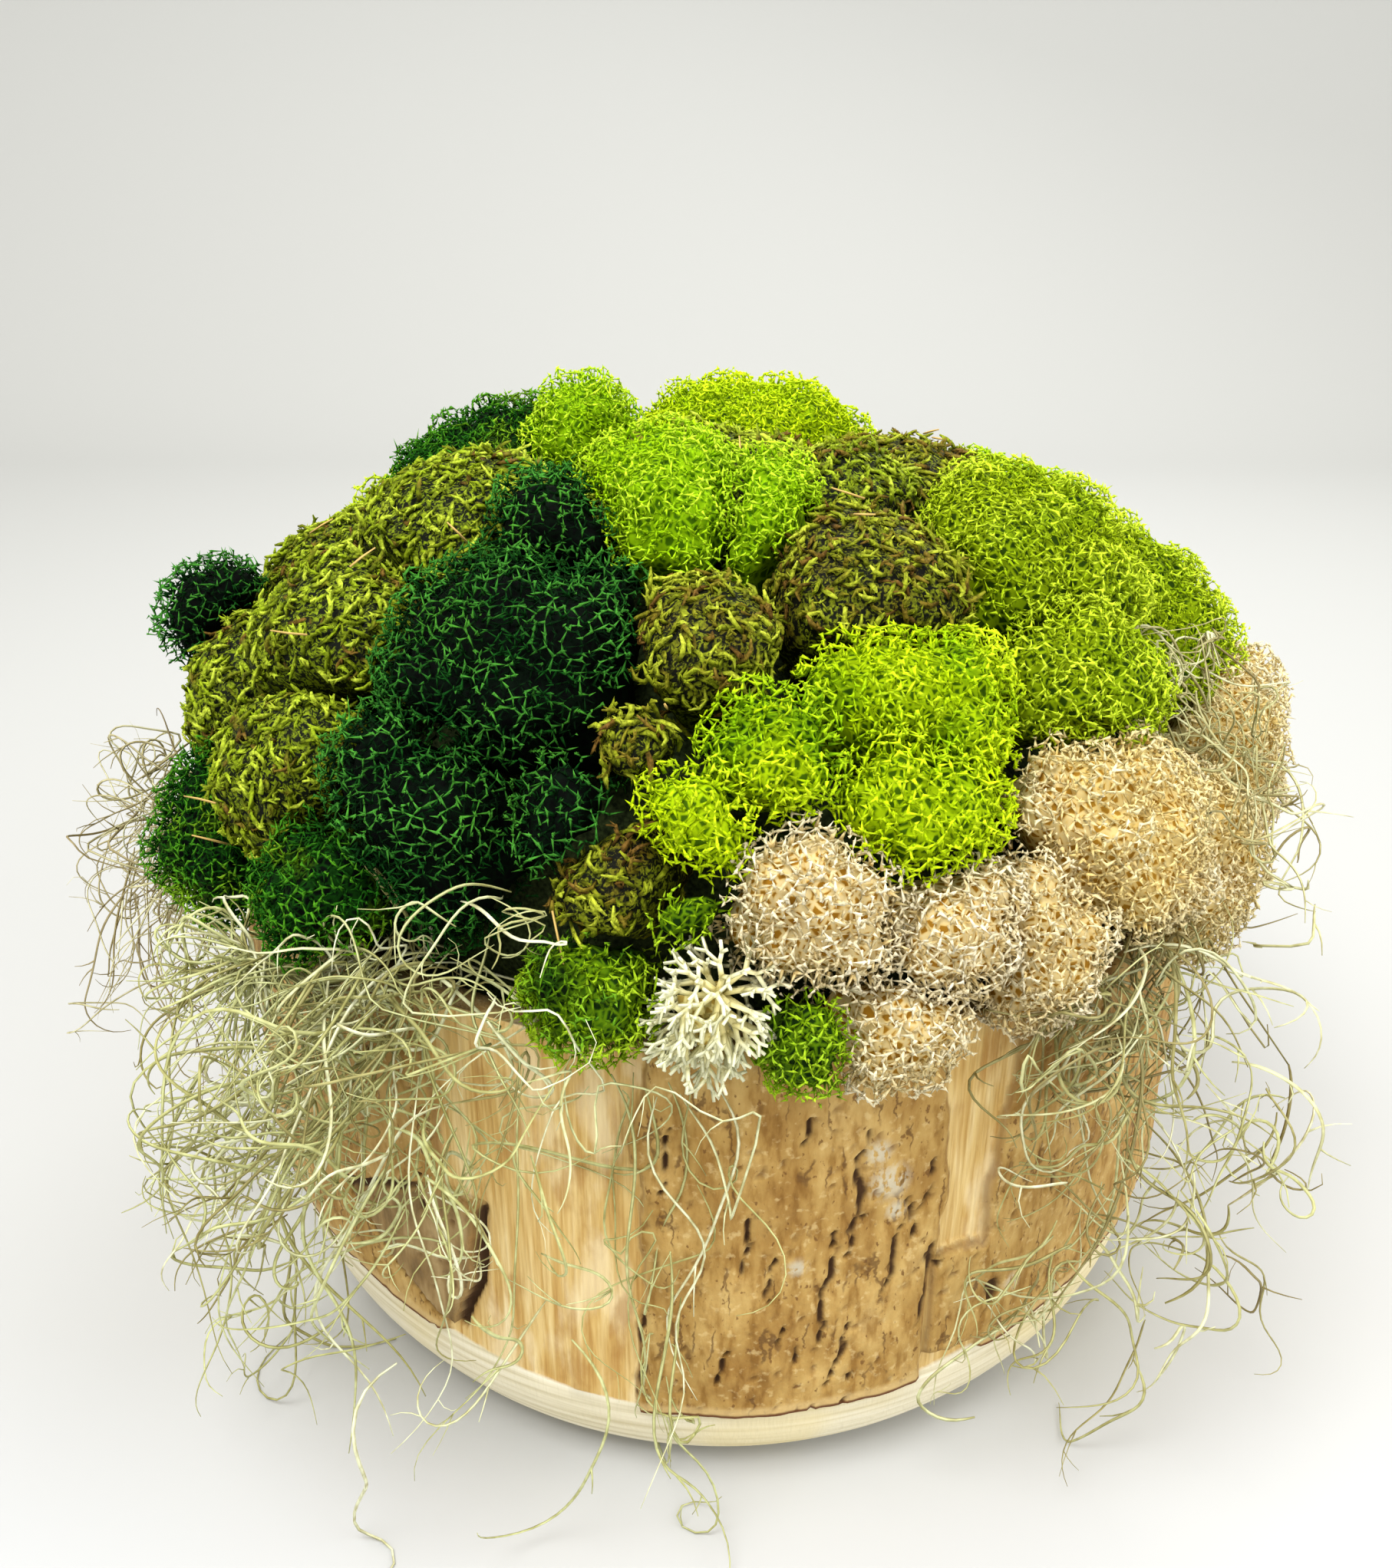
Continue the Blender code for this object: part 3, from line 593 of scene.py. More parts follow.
# how far in, and the height above the table
HOLLOW_ROWS = ((20.0, 60.0), (41.0, 30.0))
# radius, and the height above the table
INNER_FLOOR = (82.0, 22.0)
# how much of the crack's dark colour the rows inside the rim are painted with
INSIDE_DARKENING = 0.42


def skin_rows(rows):
    """Triangles that join each ring of points to the next, and close both ends."""
    around = len(rows[0])
    here = np.arange(around)
    after = (here + 1) % around
    triangles = []
    for k in range(len(rows) - 1):
        low, high = k * around, (k + 1) * around
        triangles.append(np.stack([low + here, low + after, high + after], axis=1))
        triangles.append(np.stack([low + here, high + after, high + here], axis=1))
    first = len(rows) * around
    last = first + 1
    end = (len(rows) - 1) * around
    triangles.append(np.stack([after, here, np.full(around, first)], axis=1))
    triangles.append(np.stack([end + here, end + after, np.full(around, last)], axis=1))
    caps = np.stack([rows[0].mean(axis=0), rows[-1].mean(axis=0)])
    return np.concatenate(list(rows) + [caps]), np.concatenate(triangles)


def make_bowl():
    """The whole bowl as one closed grid, with what each point is made of."""
    turns = 2.0 * math.pi * np.arange(ROUND_STEPS) / ROUND_STEPS
    angles = turns - FRONT_CROWDING * np.sin(turns)
    wall = wall_rows(angles)
    ledge = wall[0][0][:, 2]
    blank = {label: 0.0 * angles for label in wall[0][1]}
    darker_inside = dict(blank, crack=blank["crack"] + INSIDE_DARKENING)
    blank["turned"] = blank["turned"] + 1.0
    belly = belly_rows(angles, ledge)
    top = rim_height(angles)
    steps_in = [(inset, top - drop) for inset, drop in LIP_ROWS]
    steps_in += [(inset, 0.0 * top + height) for inset, height in HOLLOW_ROWS]
    inside = [ring_points(angles, BOWL_RADIUS_X - inset, BOWL_RADIUS_Y - inset, height)
              for inset, height in steps_in]
    floor_radius, floor_height = INNER_FLOOR
    inside.append(ring_points(angles, floor_radius, floor_radius, 0.0 * top + floor_height))
    rows = belly + [row[0] for row in wall] + inside
    points, triangles = skin_rows(rows)
    carried = [blank] * len(belly) + [row[1] for row in wall] + [darker_inside] * len(inside)
    values = {label: np.concatenate([row[label] for row in carried] + [np.zeros(2)])
              for label in blank}
    return mesh_piece("log_bowl", points, triangles, values)


bowl = make_bowl()
print("bowl:", len(bowl.data.polygons), "triangles")

# %% [markdown]
# ## Writing finishes
#
# Every finish here is mixed from the same few things: a colour ramp, noise at the size of
# the real pattern, and the values kept on the mesh. Three small classes keep that readable,
# each built on the one before. Colours picked on a screen are stored bent, to suit the eye,
# so they are turned into linear light first.

# %% Colours as light


def picture_colour(red, green, blue):
    """A colour given as 0 to 255, as linear light."""
    shares = (red / 255.0, green / 255.0, blue / 255.0)
    linear = [c / 12.92 if c <= 0.04045 else ((c + 0.055) / 1.055) ** 2.4 for c in shares]
    return (*linear, 1.0)


print("mid grey as linear light:", round(picture_colour(128, 128, 128)[0], 3))

# %% [markdown]
# The first class owns the material. It adds nodes, links them, reads the values kept on the
# mesh and does sums with them. Numbers that never change are set straight on the shader.

# %% Nodes and sums


class FinishNodes:
    """A procedural material, built one node at a time."""

    def __init__(self, name, roughness, specular=0.3):
        self.material = bpy.data.materials.new(name)
        self.material.use_nodes = True
        self.tree = self.material.node_tree
        self.shader = self.tree.nodes["Principled BSDF"]
        self.shader.inputs["Roughness"].default_value = roughness
        self.shader.inputs["Specular IOR Level"].default_value = specular
        self.place = self.node("ShaderNodeTexCoord").outputs["Object"]

    def node(self, kind):
        """A new node of this kind."""
        return self.tree.nodes.new(kind)

    def link(self, start, end):
        """Let one socket feed another."""
        self.tree.links.new(start, end)

    def put(self, value, socket):
        """Set a socket to a number or colour, or link it."""
        if isinstance(value, bpy.types.NodeSocket):
            self.link(value, socket)
        else:
            socket.default_value = value

    def value(self, label):
        """A value kept on the mesh's points."""
        node = self.node("ShaderNodeAttribute")
        node.attribute_name = label
        return node.outputs["Fac"]

    def maths(self, operation, first, second):
        """A sum of two numbers, named by its operation."""
        node = self.node("ShaderNodeMath")
        node.operation = operation
        self.put(first, node.inputs[0])
        self.put(second, node.inputs[1])
        return node.outputs["Value"]

    def times(self, first, second):
        """Two numbers multiplied."""
        return self.maths("MULTIPLY", first, second)

    def between(self, share, low, high):
        """0 at low, 1 at high, smooth between, and level beyond both."""
        node = self.node("ShaderNodeMapRange")
        node.interpolation_type = "SMOOTHSTEP"
        node.inputs["From Min"].default_value = low
        node.inputs["From Max"].default_value = high
        self.put(share, node.inputs["Value"])
        return node.outputs["Result"]


def added_by(kind):
    """The names of the methods that a class adds."""
    return ", ".join(name for name in vars(kind) if not name.startswith("_"))


print("nodes and sums:", added_by(FinishNodes))

# %% [markdown]
# The second class adds the patterns, noise and random cells, whose sizes are millimetres.
# Wood has a grain, so a pattern can be stretched along the log, which stands upright, and
# across it.

# %% Patterns


class FinishPatterns(FinishNodes):
    """A material that can be given noise and cells."""

    def stretched(self, place, along, across=1.0):
        """A place whose patterns grow longer as the factor along or across gets smaller."""
        mapping = self.node("ShaderNodeMapping")
        mapping.inputs["Scale"].default_value = (across, across, along)
        self.link(place, mapping.inputs["Vector"])
        return mapping.outputs["Vector"]

    def noise(self, size, detail=4.0, along=1.0, across=1.0, distortion=0.0):
        """Noise from 0 to 1 with features of about this size in millimetres."""
        node = self.node("ShaderNodeTexNoise")
        node.inputs["Scale"].default_value = 1.0 / (size * MM)
        node.inputs["Detail"].default_value = detail
        node.inputs["Distortion"].default_value = distortion
        self.link(self.stretched(self.place, along, across), node.inputs["Vector"])
        return node.outputs["Fac"]

    def shaken(self, size, ragged):
        """The place of each point, shifted by a few millimetres of noise."""
        noise = self.node("ShaderNodeTexNoise")
        noise.inputs["Scale"].default_value = 3.0 / (size * MM)
        self.link(self.place, noise.inputs["Vector"])
        shift = self.node("ShaderNodeVectorMath")
        shift.operation = "MULTIPLY_ADD"
        self.link(noise.outputs["Color"], shift.inputs[0])
        shift.inputs[1].default_value = (ragged * MM,) * 3
        self.link(self.place, shift.inputs[2])
        return shift.outputs["Vector"]

    def cell_edges(self, size, along=1.0, ragged=0.0):
        """Distance to the nearest edge between random cells of about this size."""
        place = self.shaken(size, ragged) if ragged else self.place
        node = self.node("ShaderNodeTexVoronoi")
        node.feature = "DISTANCE_TO_EDGE"
        node.inputs["Scale"].default_value = 1.0 / (size * MM)
        self.link(self.stretched(place, along), node.inputs["Vector"])
        return node.outputs["Distance"]


print("patterns:", added_by(FinishPatterns))

# %% [markdown]
# The third class adds colour: ramps that turn a number into a colour, blends and stains. It
# also adds relief, for what is too fine to model.

# %% Colours and relief


class Finish(FinishPatterns):
    """A material that can be coloured, stained and given fine relief."""

    def ramp(self, share, stops):
        """Colours along a share: stops are (place, (red, green, blue))."""
        node = self.node("ShaderNodeValToRGB")
        elements = node.color_ramp.elements
        while len(elements) < len(stops):
            elements.new(0.5)
        for element, (place, colour) in zip(elements, stops):
            element.position = place
            element.color = picture_colour(*colour)
        self.put(share, node.inputs["Fac"])
        return node.outputs["Color"]

    def mix(self, share, first, second, mode="MIX"):
        """Blend two colours."""
        node = self.node("ShaderNodeMix")
        node.data_type = "RGBA"
        node.blend_type = mode
        self.put(share, node.inputs["Factor"])
        first_colour, second_colour = [s for s in node.inputs if s.type == "RGBA"]
        self.put(first, first_colour)
        self.put(second, second_colour)
        return next(s for s in node.outputs if s.type == "RGBA")

    def tinted(self, colour, tone, strength=1.0):
        """A colour darkened or warmed by another."""
        return self.mix(strength, colour, tone, "MULTIPLY")

    def stain(self, colour, share, strength, tone):
        """A colour with a plain tone laid over it where the share is high."""
        return self.mix(self.times(share, strength), colour, picture_colour(*tone))

    def bump(self, height, distance, strength=1.0):
        """Fine relief in millimetres, for what is too small to model."""
        node = self.node("ShaderNodeBump")
        node.inputs["Strength"].default_value = strength
        node.inputs["Distance"].default_value = distance * MM
        self.link(height, node.inputs["Height"])
        self.link(node.outputs["Normal"], self.shader.inputs["Normal"])

    def colour(self, socket):
        """Let this colour be the finish's, and hand out the material."""
        self.link(socket, self.shader.inputs["Base Color"])
        return self.material


print("colours and relief:", added_by(Finish))

# %% [markdown]
# ## The log bowl: its finish
#
# Bark is tan and brown in patches, dark in its cracks and pits, and greyer on old flakes.
# Sapwood is golden with pale and orange streaks that run along the log. The turned belly
# cuts through the growth rings, so its lines run level. The values on the mesh tell the
# material which of the three a point is.

# %% Bark
# size and raggedness in millimetres, and the factor that draws furrows out along the log
FURROW_WIDTH = 7.0
FURROW_RAGGED = 2.6
FURROW_ALONG = 0.14


def bark_colour(finish, grain):
    """Tan and brown bark with specks, furrows, lichen and greyer old flakes."""
    above = finish.value("above")
    colour = finish.ramp(finish.noise(13.0, 5.0, 0.6), [
        (0.30, (156, 120, 62)), (0.46, (176, 142, 80)),
        (0.60, (194, 162, 100)), (0.76, (174, 144, 92))])
    scales = finish.ramp(finish.noise(2.6, 6.0, 0.3), [
        (0.34, (206, 190, 158)), (0.48, (242, 236, 222)), (0.62, (255, 255, 250))])
    colour = finish.tinted(colour, scales)
    specks = finish.between(finish.noise(1.5, 3.0, 0.55), 0.37, 0.30)
    colour = finish.stain(colour, specks, 0.8, (104, 68, 28))
    pale = finish.between(finish.noise(2.2, 4.0), 0.56, 0.72)
    colour = finish.stain(colour, pale, 0.45, (218, 192, 134))
    furrows = finish.cell_edges(FURROW_WIDTH, FURROW_ALONG, FURROW_RAGGED)
    furrows = finish.between(furrows, 0.05, 0.01)
    broken = finish.between(finish.noise(6.0, 3.0, 0.5), 0.51, 0.60)
    colour = finish.stain(colour, finish.times(furrows, broken), 0.7, (84, 54, 24))
    lichen = finish.times(finish.value("lichen"), finish.between(grain, 0.40, 0.52))
    colour = finish.stain(colour, lichen, 0.8, (196, 188, 164))
    old_bark = finish.ramp(finish.noise(4.0, 5.0, 0.25), [
        (0.32, (92, 72, 44)), (0.50, (136, 110, 70)), (0.68, (172, 148, 104))])
    colour = finish.mix(finish.times(finish.value("flake"), 0.85), colour, old_bark)
    colour = finish.stain(colour, finish.between(above, 0.42, 0.22), 0.6, (206, 178, 122))
    colour = finish.stain(colour, finish.value("pit"), 0.6, (104, 70, 32))
    return finish.stain(colour, finish.between(above, 0.12, 0.04), 1.0, (108, 66, 34))


print("furrows of the bark are about", FURROW_WIDTH, "mm apart and",
      round(FURROW_WIDTH / FURROW_ALONG), "mm long")

# %% [markdown]
# The bare sapwood has long pale and orange streaks and finer fibres over them, with torn
# and stained places. The belly was turned on a lathe, so its rings show as level lines.

# %% Sapwood and turned wood


def sapwood_colour(finish, fibres):
    """Golden wood with streaks and fibres along the log, torn and stained in places."""
    streaks = finish.noise(3.6, 8.0, 0.10, distortion=0.3)
    colour = finish.ramp(streaks, [
        (0.28, (196, 154, 86)), (0.44, (214, 180, 112)),
        (0.58, (226, 198, 136)), (0.74, (242, 222, 172))])
    fibre_tone = finish.ramp(fibres, [(0.3, (216, 198, 166)), (0.62, (255, 255, 252))])
    colour = finish.tinted(colour, fibre_tone, 0.8)
    torn = finish.between(finish.noise(15.0, 6.0, 0.3), 0.54, 0.64)
    colour = finish.stain(colour, torn, 0.5, (246, 230, 188))
    stained = finish.between(finish.noise(9.0, 6.0, 0.35), 0.55, 0.68)
    return finish.stain(colour, stained, 0.55, (164, 116, 54))


def turned_colour(finish):
    """Pale turned wood with level lines, yellowed in large patches."""
    level_lines = finish.noise(2.4, 4.0, 1.3, 0.04)
    colour = finish.ramp(level_lines, [
        (0.3, (200, 188, 150)), (0.5, (226, 217, 188)), (0.7, (236, 229, 206))])
    yellowed = finish.between(finish.noise(70.0, 2.0), 0.50, 0.62)
    return finish.stain(colour, yellowed, 0.4, (226, 206, 140))


def bowl_finish():
    """Bark, sapwood and turned wood, each where the mesh says, with dark seams and cracks."""
    finish = Finish("bark_and_wood", 0.75, 0.2)
    bark = finish.value("bark")
    grain = finish.noise(1.5, 5.0, 0.6)
    fibres = finish.noise(0.8, 4.0, 0.04)
    colour = finish.mix(bark, sapwood_colour(finish, fibres), bark_colour(finish, grain))
    seam = finish.times(finish.between(bark, 0.02, 0.45), finish.between(bark, 0.98, 0.55))
    colour = finish.stain(colour, seam, 0.5, (120, 84, 42))
    colour = finish.mix(finish.value("turned"), colour, turned_colour(finish))
    cracks = finish.between(finish.value("crack"), 0.05, 0.7)
    colour = finish.stain(colour, cracks, 1.0, (70, 46, 22))
    finish.bump(finish.mix(bark, fibres, grain), 0.45, 0.9)
    return finish.colour(colour)


dress(bowl, "bowl", bowl_finish())
print("bowl finish:", len(bowl.data.materials[0].node_tree.nodes), "nodes")

# %% [markdown]
# ## The foam
#
# The dry foam hardly shows, so its CAD solid stays. It still gets the look of cut floral
# foam: a fine open grain, and a green painted dark all over as the shade of the moss above it.

# %% Foam finish


def foam_finish():
    """Cut foam with an open grain, its green painted dark as shade."""
    finish = Finish("dry_foam", 0.95, 0.1)
    grain = finish.noise(1.2, 5.0)
    finish.bump(grain, 0.6, 0.7)
    return finish.colour(finish.ramp(grain, [(0.35, (28, 36, 18)), (0.65, (62, 74, 40))]))


foam_node = cad_nodes["foam_core"]
foam_node.data.materials.clear()
foam_node.data.materials.append(foam_finish())
print("foam keeps its CAD solid")

# %% [markdown]
# ## The form of a tuft
#
# The CAD tuft is a faceted dome with spikes, which stand for many branches each. A voxel
# remesh and some smoothing turn it into the soft mound that the branch ends lie on.

# %% The soft skin of a tuft
SKIN_VOXEL = 4.0
SKIN_SMOOTHING = 5


def triangles_of(mesh):
    """Points in millimetres and triangles of a mesh."""
    mesh.calc_loop_triangles()
    points = np.empty(len(mesh.vertices) * 3, np.float32)
    mesh.vertices.foreach_get("co", points)
    triangles = np.empty(len(mesh.loop_triangles) * 3, np.int32)
    mesh.loop_triangles.foreach_get("vertices", triangles)
    return points.reshape(-1, 3).astype(float) / MM, triangles.reshape(-1, 3)


def soft_skin(node):
    """Points, normals and triangles of a tuft with its spikes smoothed away."""
    copy = bpy.data.objects.new("skin", cad_nodes[node].data.copy())
    bpy.context.scene.collection.objects.link(copy)
    remesh = copy.modifiers.new("remesh", "REMESH")
    remesh.mode = "VOXEL"
    remesh.voxel_size = SKIN_VOXEL * MM
    smooth = copy.modifiers.new("smooth", "SMOOTH")
    smooth.iterations = SKIN_SMOOTHING
    evaluated = copy.evaluated_get(bpy.context.evaluated_depsgraph_get())
    mesh = bpy.data.meshes.new_from_object(evaluated)
    points, triangles = triangles_of(mesh)
    normals = np.empty(len(mesh.vertices) * 3, np.float32)
    mesh.vertex_normals.foreach_get("vector", normals)
    bpy.data.meshes.remove(copy.data)
    bpy.data.meshes.remove(mesh)
    return points, normals.reshape(-1, 3).astype(float), triangles


solids = {node: triangles_of(obj.data) for node, obj in cad_nodes.items()}
middles = {node: (points.min(0) + points.max(0)) / 2.0 for node, (points, _) in solids.items()}
print("solids:", sum(len(t) for _, t in solids.values()), "triangles")

# %% [markdown]
# Now we ask of every point how open it is: where a neighbour stands in front of it, no
# branch needs to grow, and a branch that grows where it is less open is painted darker, as
# painted shade. Six short rays from each point answer that, one straight out and five that
# lean to the sides. They are shot at one search tree of all the solids near by.

# %% How open each point is
NEIGHBOUR_REACH = 15.0
RAY_START = 0.6
SIDE_RAYS = 5


def tree_of(nodes):
    """One search tree of the solids of several nodes."""
    points, triangles, size = [], [], 0
    for node in nodes:
        node_points, node_triangles = solids[node]
        points.append(node_points)
        triangles.append(node_triangles + size)
        size += len(node_points)
    return BVHTree.FromPolygons(np.concatenate(points).tolist(),
                                np.concatenate(triangles).tolist(), all_triangles=True)


def neighbours_of(node):
    """The nodes whose boxes come near this node's box."""
    low, high = solids[node][0].min(0), solids[node][0].max(0)
    near = []
    for other, (points, _) in solids.items():
        apart = np.maximum(points.min(0) - high, low - points.max(0)).max()
        if other != node and apart <= NEIGHBOUR_REACH:
            near.append(other)
    return near


def openness(points, normals, tree):
    """Share of six short rays from each point that meet no neighbour."""
    free = np.zeros(len(points))
    for i, (point, normal) in enumerate(zip(points, normals)):
        out = Vector(normal)
        side = out.orthogonal().normalized()
        start = Vector(point) + out * RAY_START
        free[i] = tree.ray_cast(start, out, NEIGHBOUR_REACH)[0] is None
        for k in range(SIDE_RAYS):
            turn = 2.0 * math.pi * k / SIDE_RAYS
            aside = side * math.cos(turn) + out.cross(side) * math.sin(turn)
            tilted = out * 0.5 + aside * 0.86
            free[i] += tree.ray_cast(start, tilted, NEIGHBOUR_REACH)[0] is None
    return free / (SIDE_RAYS + 1.0)


print("nodes near the foam:", len(neighbours_of("foam_core")))

# %% [markdown]
# Reindeer moss grows in rounded heads, like a tiny cauliflower. We set head middles a
# little under the skin, and push every point that falls inside a head out to its ball. The
# creases between heads stay where the skin was. How near a point is to the top of its head
# is kept, because the tops catch the light and are paler.
#
# Branches are spread evenly by taking random points and dropping each one that comes too
# near to one already kept. On the far side, which is seldom seen, they are set wider.

# %% Even spacing and rounded heads
OPEN_ENOUGH = 0.42
SPOT_AREA = 0.16
FEWEST_SPOTS = 8
HIDDEN_START = 20.0
HIDDEN_REACH = 55.0
HIDDEN_SLOPE = 0.5
MOUND_MIDDLE_HEIGHT = 150.0
MOST_WIDENING = 1.0
HEAD_SUNK = 0.62
CROWN_REACH = 0.38


def thin_out(points, spacing, rng):
    """Indices of points, picked so that no two are nearer than the spacing."""
    chosen = np.empty_like(points)
    kept = []
    for i in rng.permutation(len(points)):
        apart = chosen[:len(kept)] - points[i]
        if len(kept) == 0 or (apart * apart).sum(axis=1).min() >= spacing * spacing:
            chosen[len(kept)] = points[i]
            kept.append(i)
    return np.array(kept)


def areas_of(corners):
    """Areas of triangles, given their corners."""
    first_side = corners[:, 1] - corners[:, 0]
    second_side = corners[:, 2] - corners[:, 0]
    return np.linalg.norm(np.cross(first_side, second_side), axis=1) / 2.0


def scatter(points, normals, triangles, share, spacing, rng):
    """Random points on the open part of a skin, their normals, and how open each is."""
    corners = points[triangles]
    open_share = share[triangles].mean(axis=1)
    weights = areas_of(corners) * (open_share > OPEN_ENOUGH)
    count = int(weights.sum() / (SPOT_AREA * spacing * spacing)) + FEWEST_SPOTS
    chosen = rng.choice(len(triangles), count, p=weights / weights.sum())
    first, second = rng.random(count), rng.random(count)
    flip = first + second > 1.0
    first[flip], second[flip] = 1.0 - first[flip], 1.0 - second[flip]
    blend = np.stack([1.0 - first - second, first, second], axis=1)[:, :, None]
    facing = unit((normals[triangles[chosen]] * blend).sum(axis=1))
    return (corners[chosen] * blend).sum(axis=1), facing, open_share[chosen]


def wider_at_back(node):
    """How much wider the spacing is: what faces the room gets the finest growth."""
    _, back, height = middles[node]
    behind = back - HIDDEN_SLOPE * (height - MOUND_MIDDLE_HEIGHT)
    hidden = (behind - HIDDEN_START) / HIDDEN_REACH
    return 1.0 + MOST_WIDENING * float(np.clip(hidden, 0.0, 1.0))


def raise_heads(points, normals, head_points, head_normals, radii):
    """Points pushed out onto the heads, their directions, and how near each head's top."""
    centres = head_points - head_normals * radii[:, None] * HEAD_SUNK
    offsets = points[:, None] - centres[None]
    distances = np.linalg.norm(offsets, axis=2) / radii[None]
    nearest = distances.argmin(axis=1)
    rows = np.arange(len(points))
    away = distances[rows, nearest]
    direction = unit(offsets[rows, nearest])
    inside = (away < 1.0)[:, None]
    pushed = np.where(inside, centres[nearest] + direction * radii[nearest][:, None], points)
    facing = unit(np.where(inside, direction + 0.4 * normals, normals))
    crown = np.clip((1.0 - away) / CROWN_REACH, 0.0, 1.0)
    return pushed, facing, crown


widest = max(wider_at_back(node) for node in middles)
print("the spacing at the back is up to", round(widest, 2), "times as wide")

# %% [markdown]
# ## Growing reindeer moss
#
# A real branch forks again and again on its way up, and near the surface its arms touch
# those of the next branch, which gives the open net that one sees. We start from the
# surface: spread the branch ends evenly over the heads, and tie each end to every
# neighbour that no third end is nearer to. That rule gives a net of many-sided cells with
# no edge crossing another.

# %% Which branch ends to tie
NEAREST_ENDS = 8


def net_edges(ends, longest):
    """Pairs of ends that no third end is nearer to than they are to each other."""
    apart = np.sqrt(np.maximum(((ends[:, None] - ends[None]) ** 2).sum(axis=2), 0.0))
    near = np.argsort(apart, axis=1)[:, 1:NEAREST_ENDS + 1]
    pairs = []
    for column in range(near.shape[1]):
        other = near[:, column]
        length = apart[np.arange(len(ends)), other]
        own = np.take_along_axis(apart, near, axis=1)
        third = np.maximum(own, apart[other[:, None], near])
        third[near == other[:, None]] = np.inf
        tied = (third.min(axis=1) >= length) & (length < longest)
        pairs.append(np.stack([np.arange(len(ends))[tied], other[tied]], axis=1))
    pairs = np.sort(np.concatenate(pairs), axis=1)
    return np.unique(pairs, axis=0)


square = np.array([(0.0, 0.0, 0.0), (1.0, 0.0, 0.0), (0.0, 1.0, 0.0), (1.0, 1.0, 0.0)])
print("four ends in a square are tied by", len(net_edges(square, 2.0)), "arms")

# %% [markdown]
# Stems run down from the net and meet in ever deeper forks. Ends near each other share a
# fork, which lies below their middle; those forks are then the ends of the next level. Only
# part of the stems is drawn at the first level, since most are hidden by the net.

# %% Forks and branches


def sums(owner, vectors, count):
    """The vectors of each owner, added up."""
    return np.stack([np.bincount(owner, vectors[:, k], count) for k in range(3)], axis=1)


def meet(ends, directions, spacing, depth, jitter, rng):
    """Let ends meet in forks: the forks, their directions, and each end's own fork."""
    picked = thin_out(ends, spacing, rng)
    seeds = ends[picked]
    owner = ((ends[:, None] - seeds[None]) ** 2).sum(axis=2).argmin(axis=1)
    size = np.bincount(owner, minlength=len(seeds))[:, None]
    forks = sums(owner, ends, len(seeds)) / size
    facing = unit(sums(owner, directions, len(seeds)))
    forks = forks - facing * depth + rng.normal(0.0, jitter, forks.shape)
    return forks, facing, owner


def end_lights(lights, count):
    """The light at the base and at the tip of each branch."""
    return [np.broadcast_to(light, count) for light in lights]


def add_rods(bundle, starts, ends, radii, lights, tints):
    """Add blunt branches whose light runs from one end's to the other's."""
    points, triangles = rods(starts, ends, *radii)
    light = np.repeat(np.stack(end_lights(lights, len(starts)), axis=1).ravel(), 3)
    bundle.add(points, triangles, light, np.repeat(tints, 6))


def add_twigs(bundle, bases, tips, radii, lights, tints):
    """Add branches that taper from base to tip, their light running the same way."""
    points, triangles = spikes(bases, tips, radii)
    base, tip = end_lights(lights, len(bases))
    light = np.stack([base, base, base, tip], axis=1).ravel()
    bundle.add(points, triangles, light, np.repeat(tints, 4))


def sideways(directions, rng):
    """A random direction square to each given one."""
    return unit(np.cross(directions, rng.normal(0.0, 1.0, directions.shape)))


straight_up = np.tile((0.0, 0.0, 1.0), (4, 1))
shared_forks, _, _ = meet(square, straight_up, 3.0, 1.0, 0.0, np.random.default_rng(0))
print("and those four ends meet in", len(shared_forks), "fork")

# %% [markdown]
# The arms of the net run from end to end and a little past them, and each end carries a
# short free tip, painted a little lighter. A few tips are longer, since no moss is trimmed.
# Below the net the stems go down two levels, and get thicker and are painted darker from fork
# to fork, as painted shade.

# %% Net and stems
STRAY_SHARE = 0.07
STRAY_STRETCH = 2.3
LONGEST_ARM = 2.1
STEM_SHARE = 0.38
STEM_TOP_LIGHT = 0.62
STEM_JITTER = 0.4
# spacing in meshes, depth in millimetres, thickness at the foot, light at the foot
STEM_LEVELS = ((2.2, 2.6, 1.2, 0.34), (4.6, 5.0, 1.8, 0.10))


def grow_arms(bundle, ends, light, stout, tints, recipe, mesh, rng):
    """The arms of the net, each from one end to a neighbour."""
    pairs = net_edges(ends, mesh * LONGEST_ARM)
    pairs = pairs[rng.random(len(pairs)) < recipe["tied"]]
    turned_round = rng.random(len(pairs)) < 0.5
    first = np.where(turned_round, pairs[:, 1], pairs[:, 0])
    second = np.where(turned_round, pairs[:, 0], pairs[:, 1])
    reach = ends[second] - ends[first]
    add_twigs(bundle, ends[first] - reach * 0.08, ends[second] + reach * 0.12, stout[first],
              (light[first], light[second]), tints[first])


def grow_net(bundle, ends, directions, light, recipe, mesh, rng):
    """The net of arms, with a short free tip at every end."""
    count = len(ends)
    stout = recipe["thick"] * rng.uniform(0.8, 1.25, count)
    tints = rng.random(count)
    grow_arms(bundle, ends, light, stout, tints, recipe, mesh, rng)
    aside = sideways(directions, rng) * rng.uniform(0.3, 1.4, (count, 1))
    aim = unit(directions * 0.6 + aside)
    stretch = np.where(rng.random((count, 1)) < STRAY_SHARE, STRAY_STRETCH, 1.0)
    tips = ends + aim * recipe["tip"] * rng.uniform(0.5, 1.3, (count, 1)) * stretch
    # the free tips are painted a little lighter than their ends
    lights = (np.minimum(light + 0.04, 1.0), np.minimum(light + 0.12, 1.0))
    add_twigs(bundle, ends - aim * 0.3, tips, stout * 0.9, lights, tints)


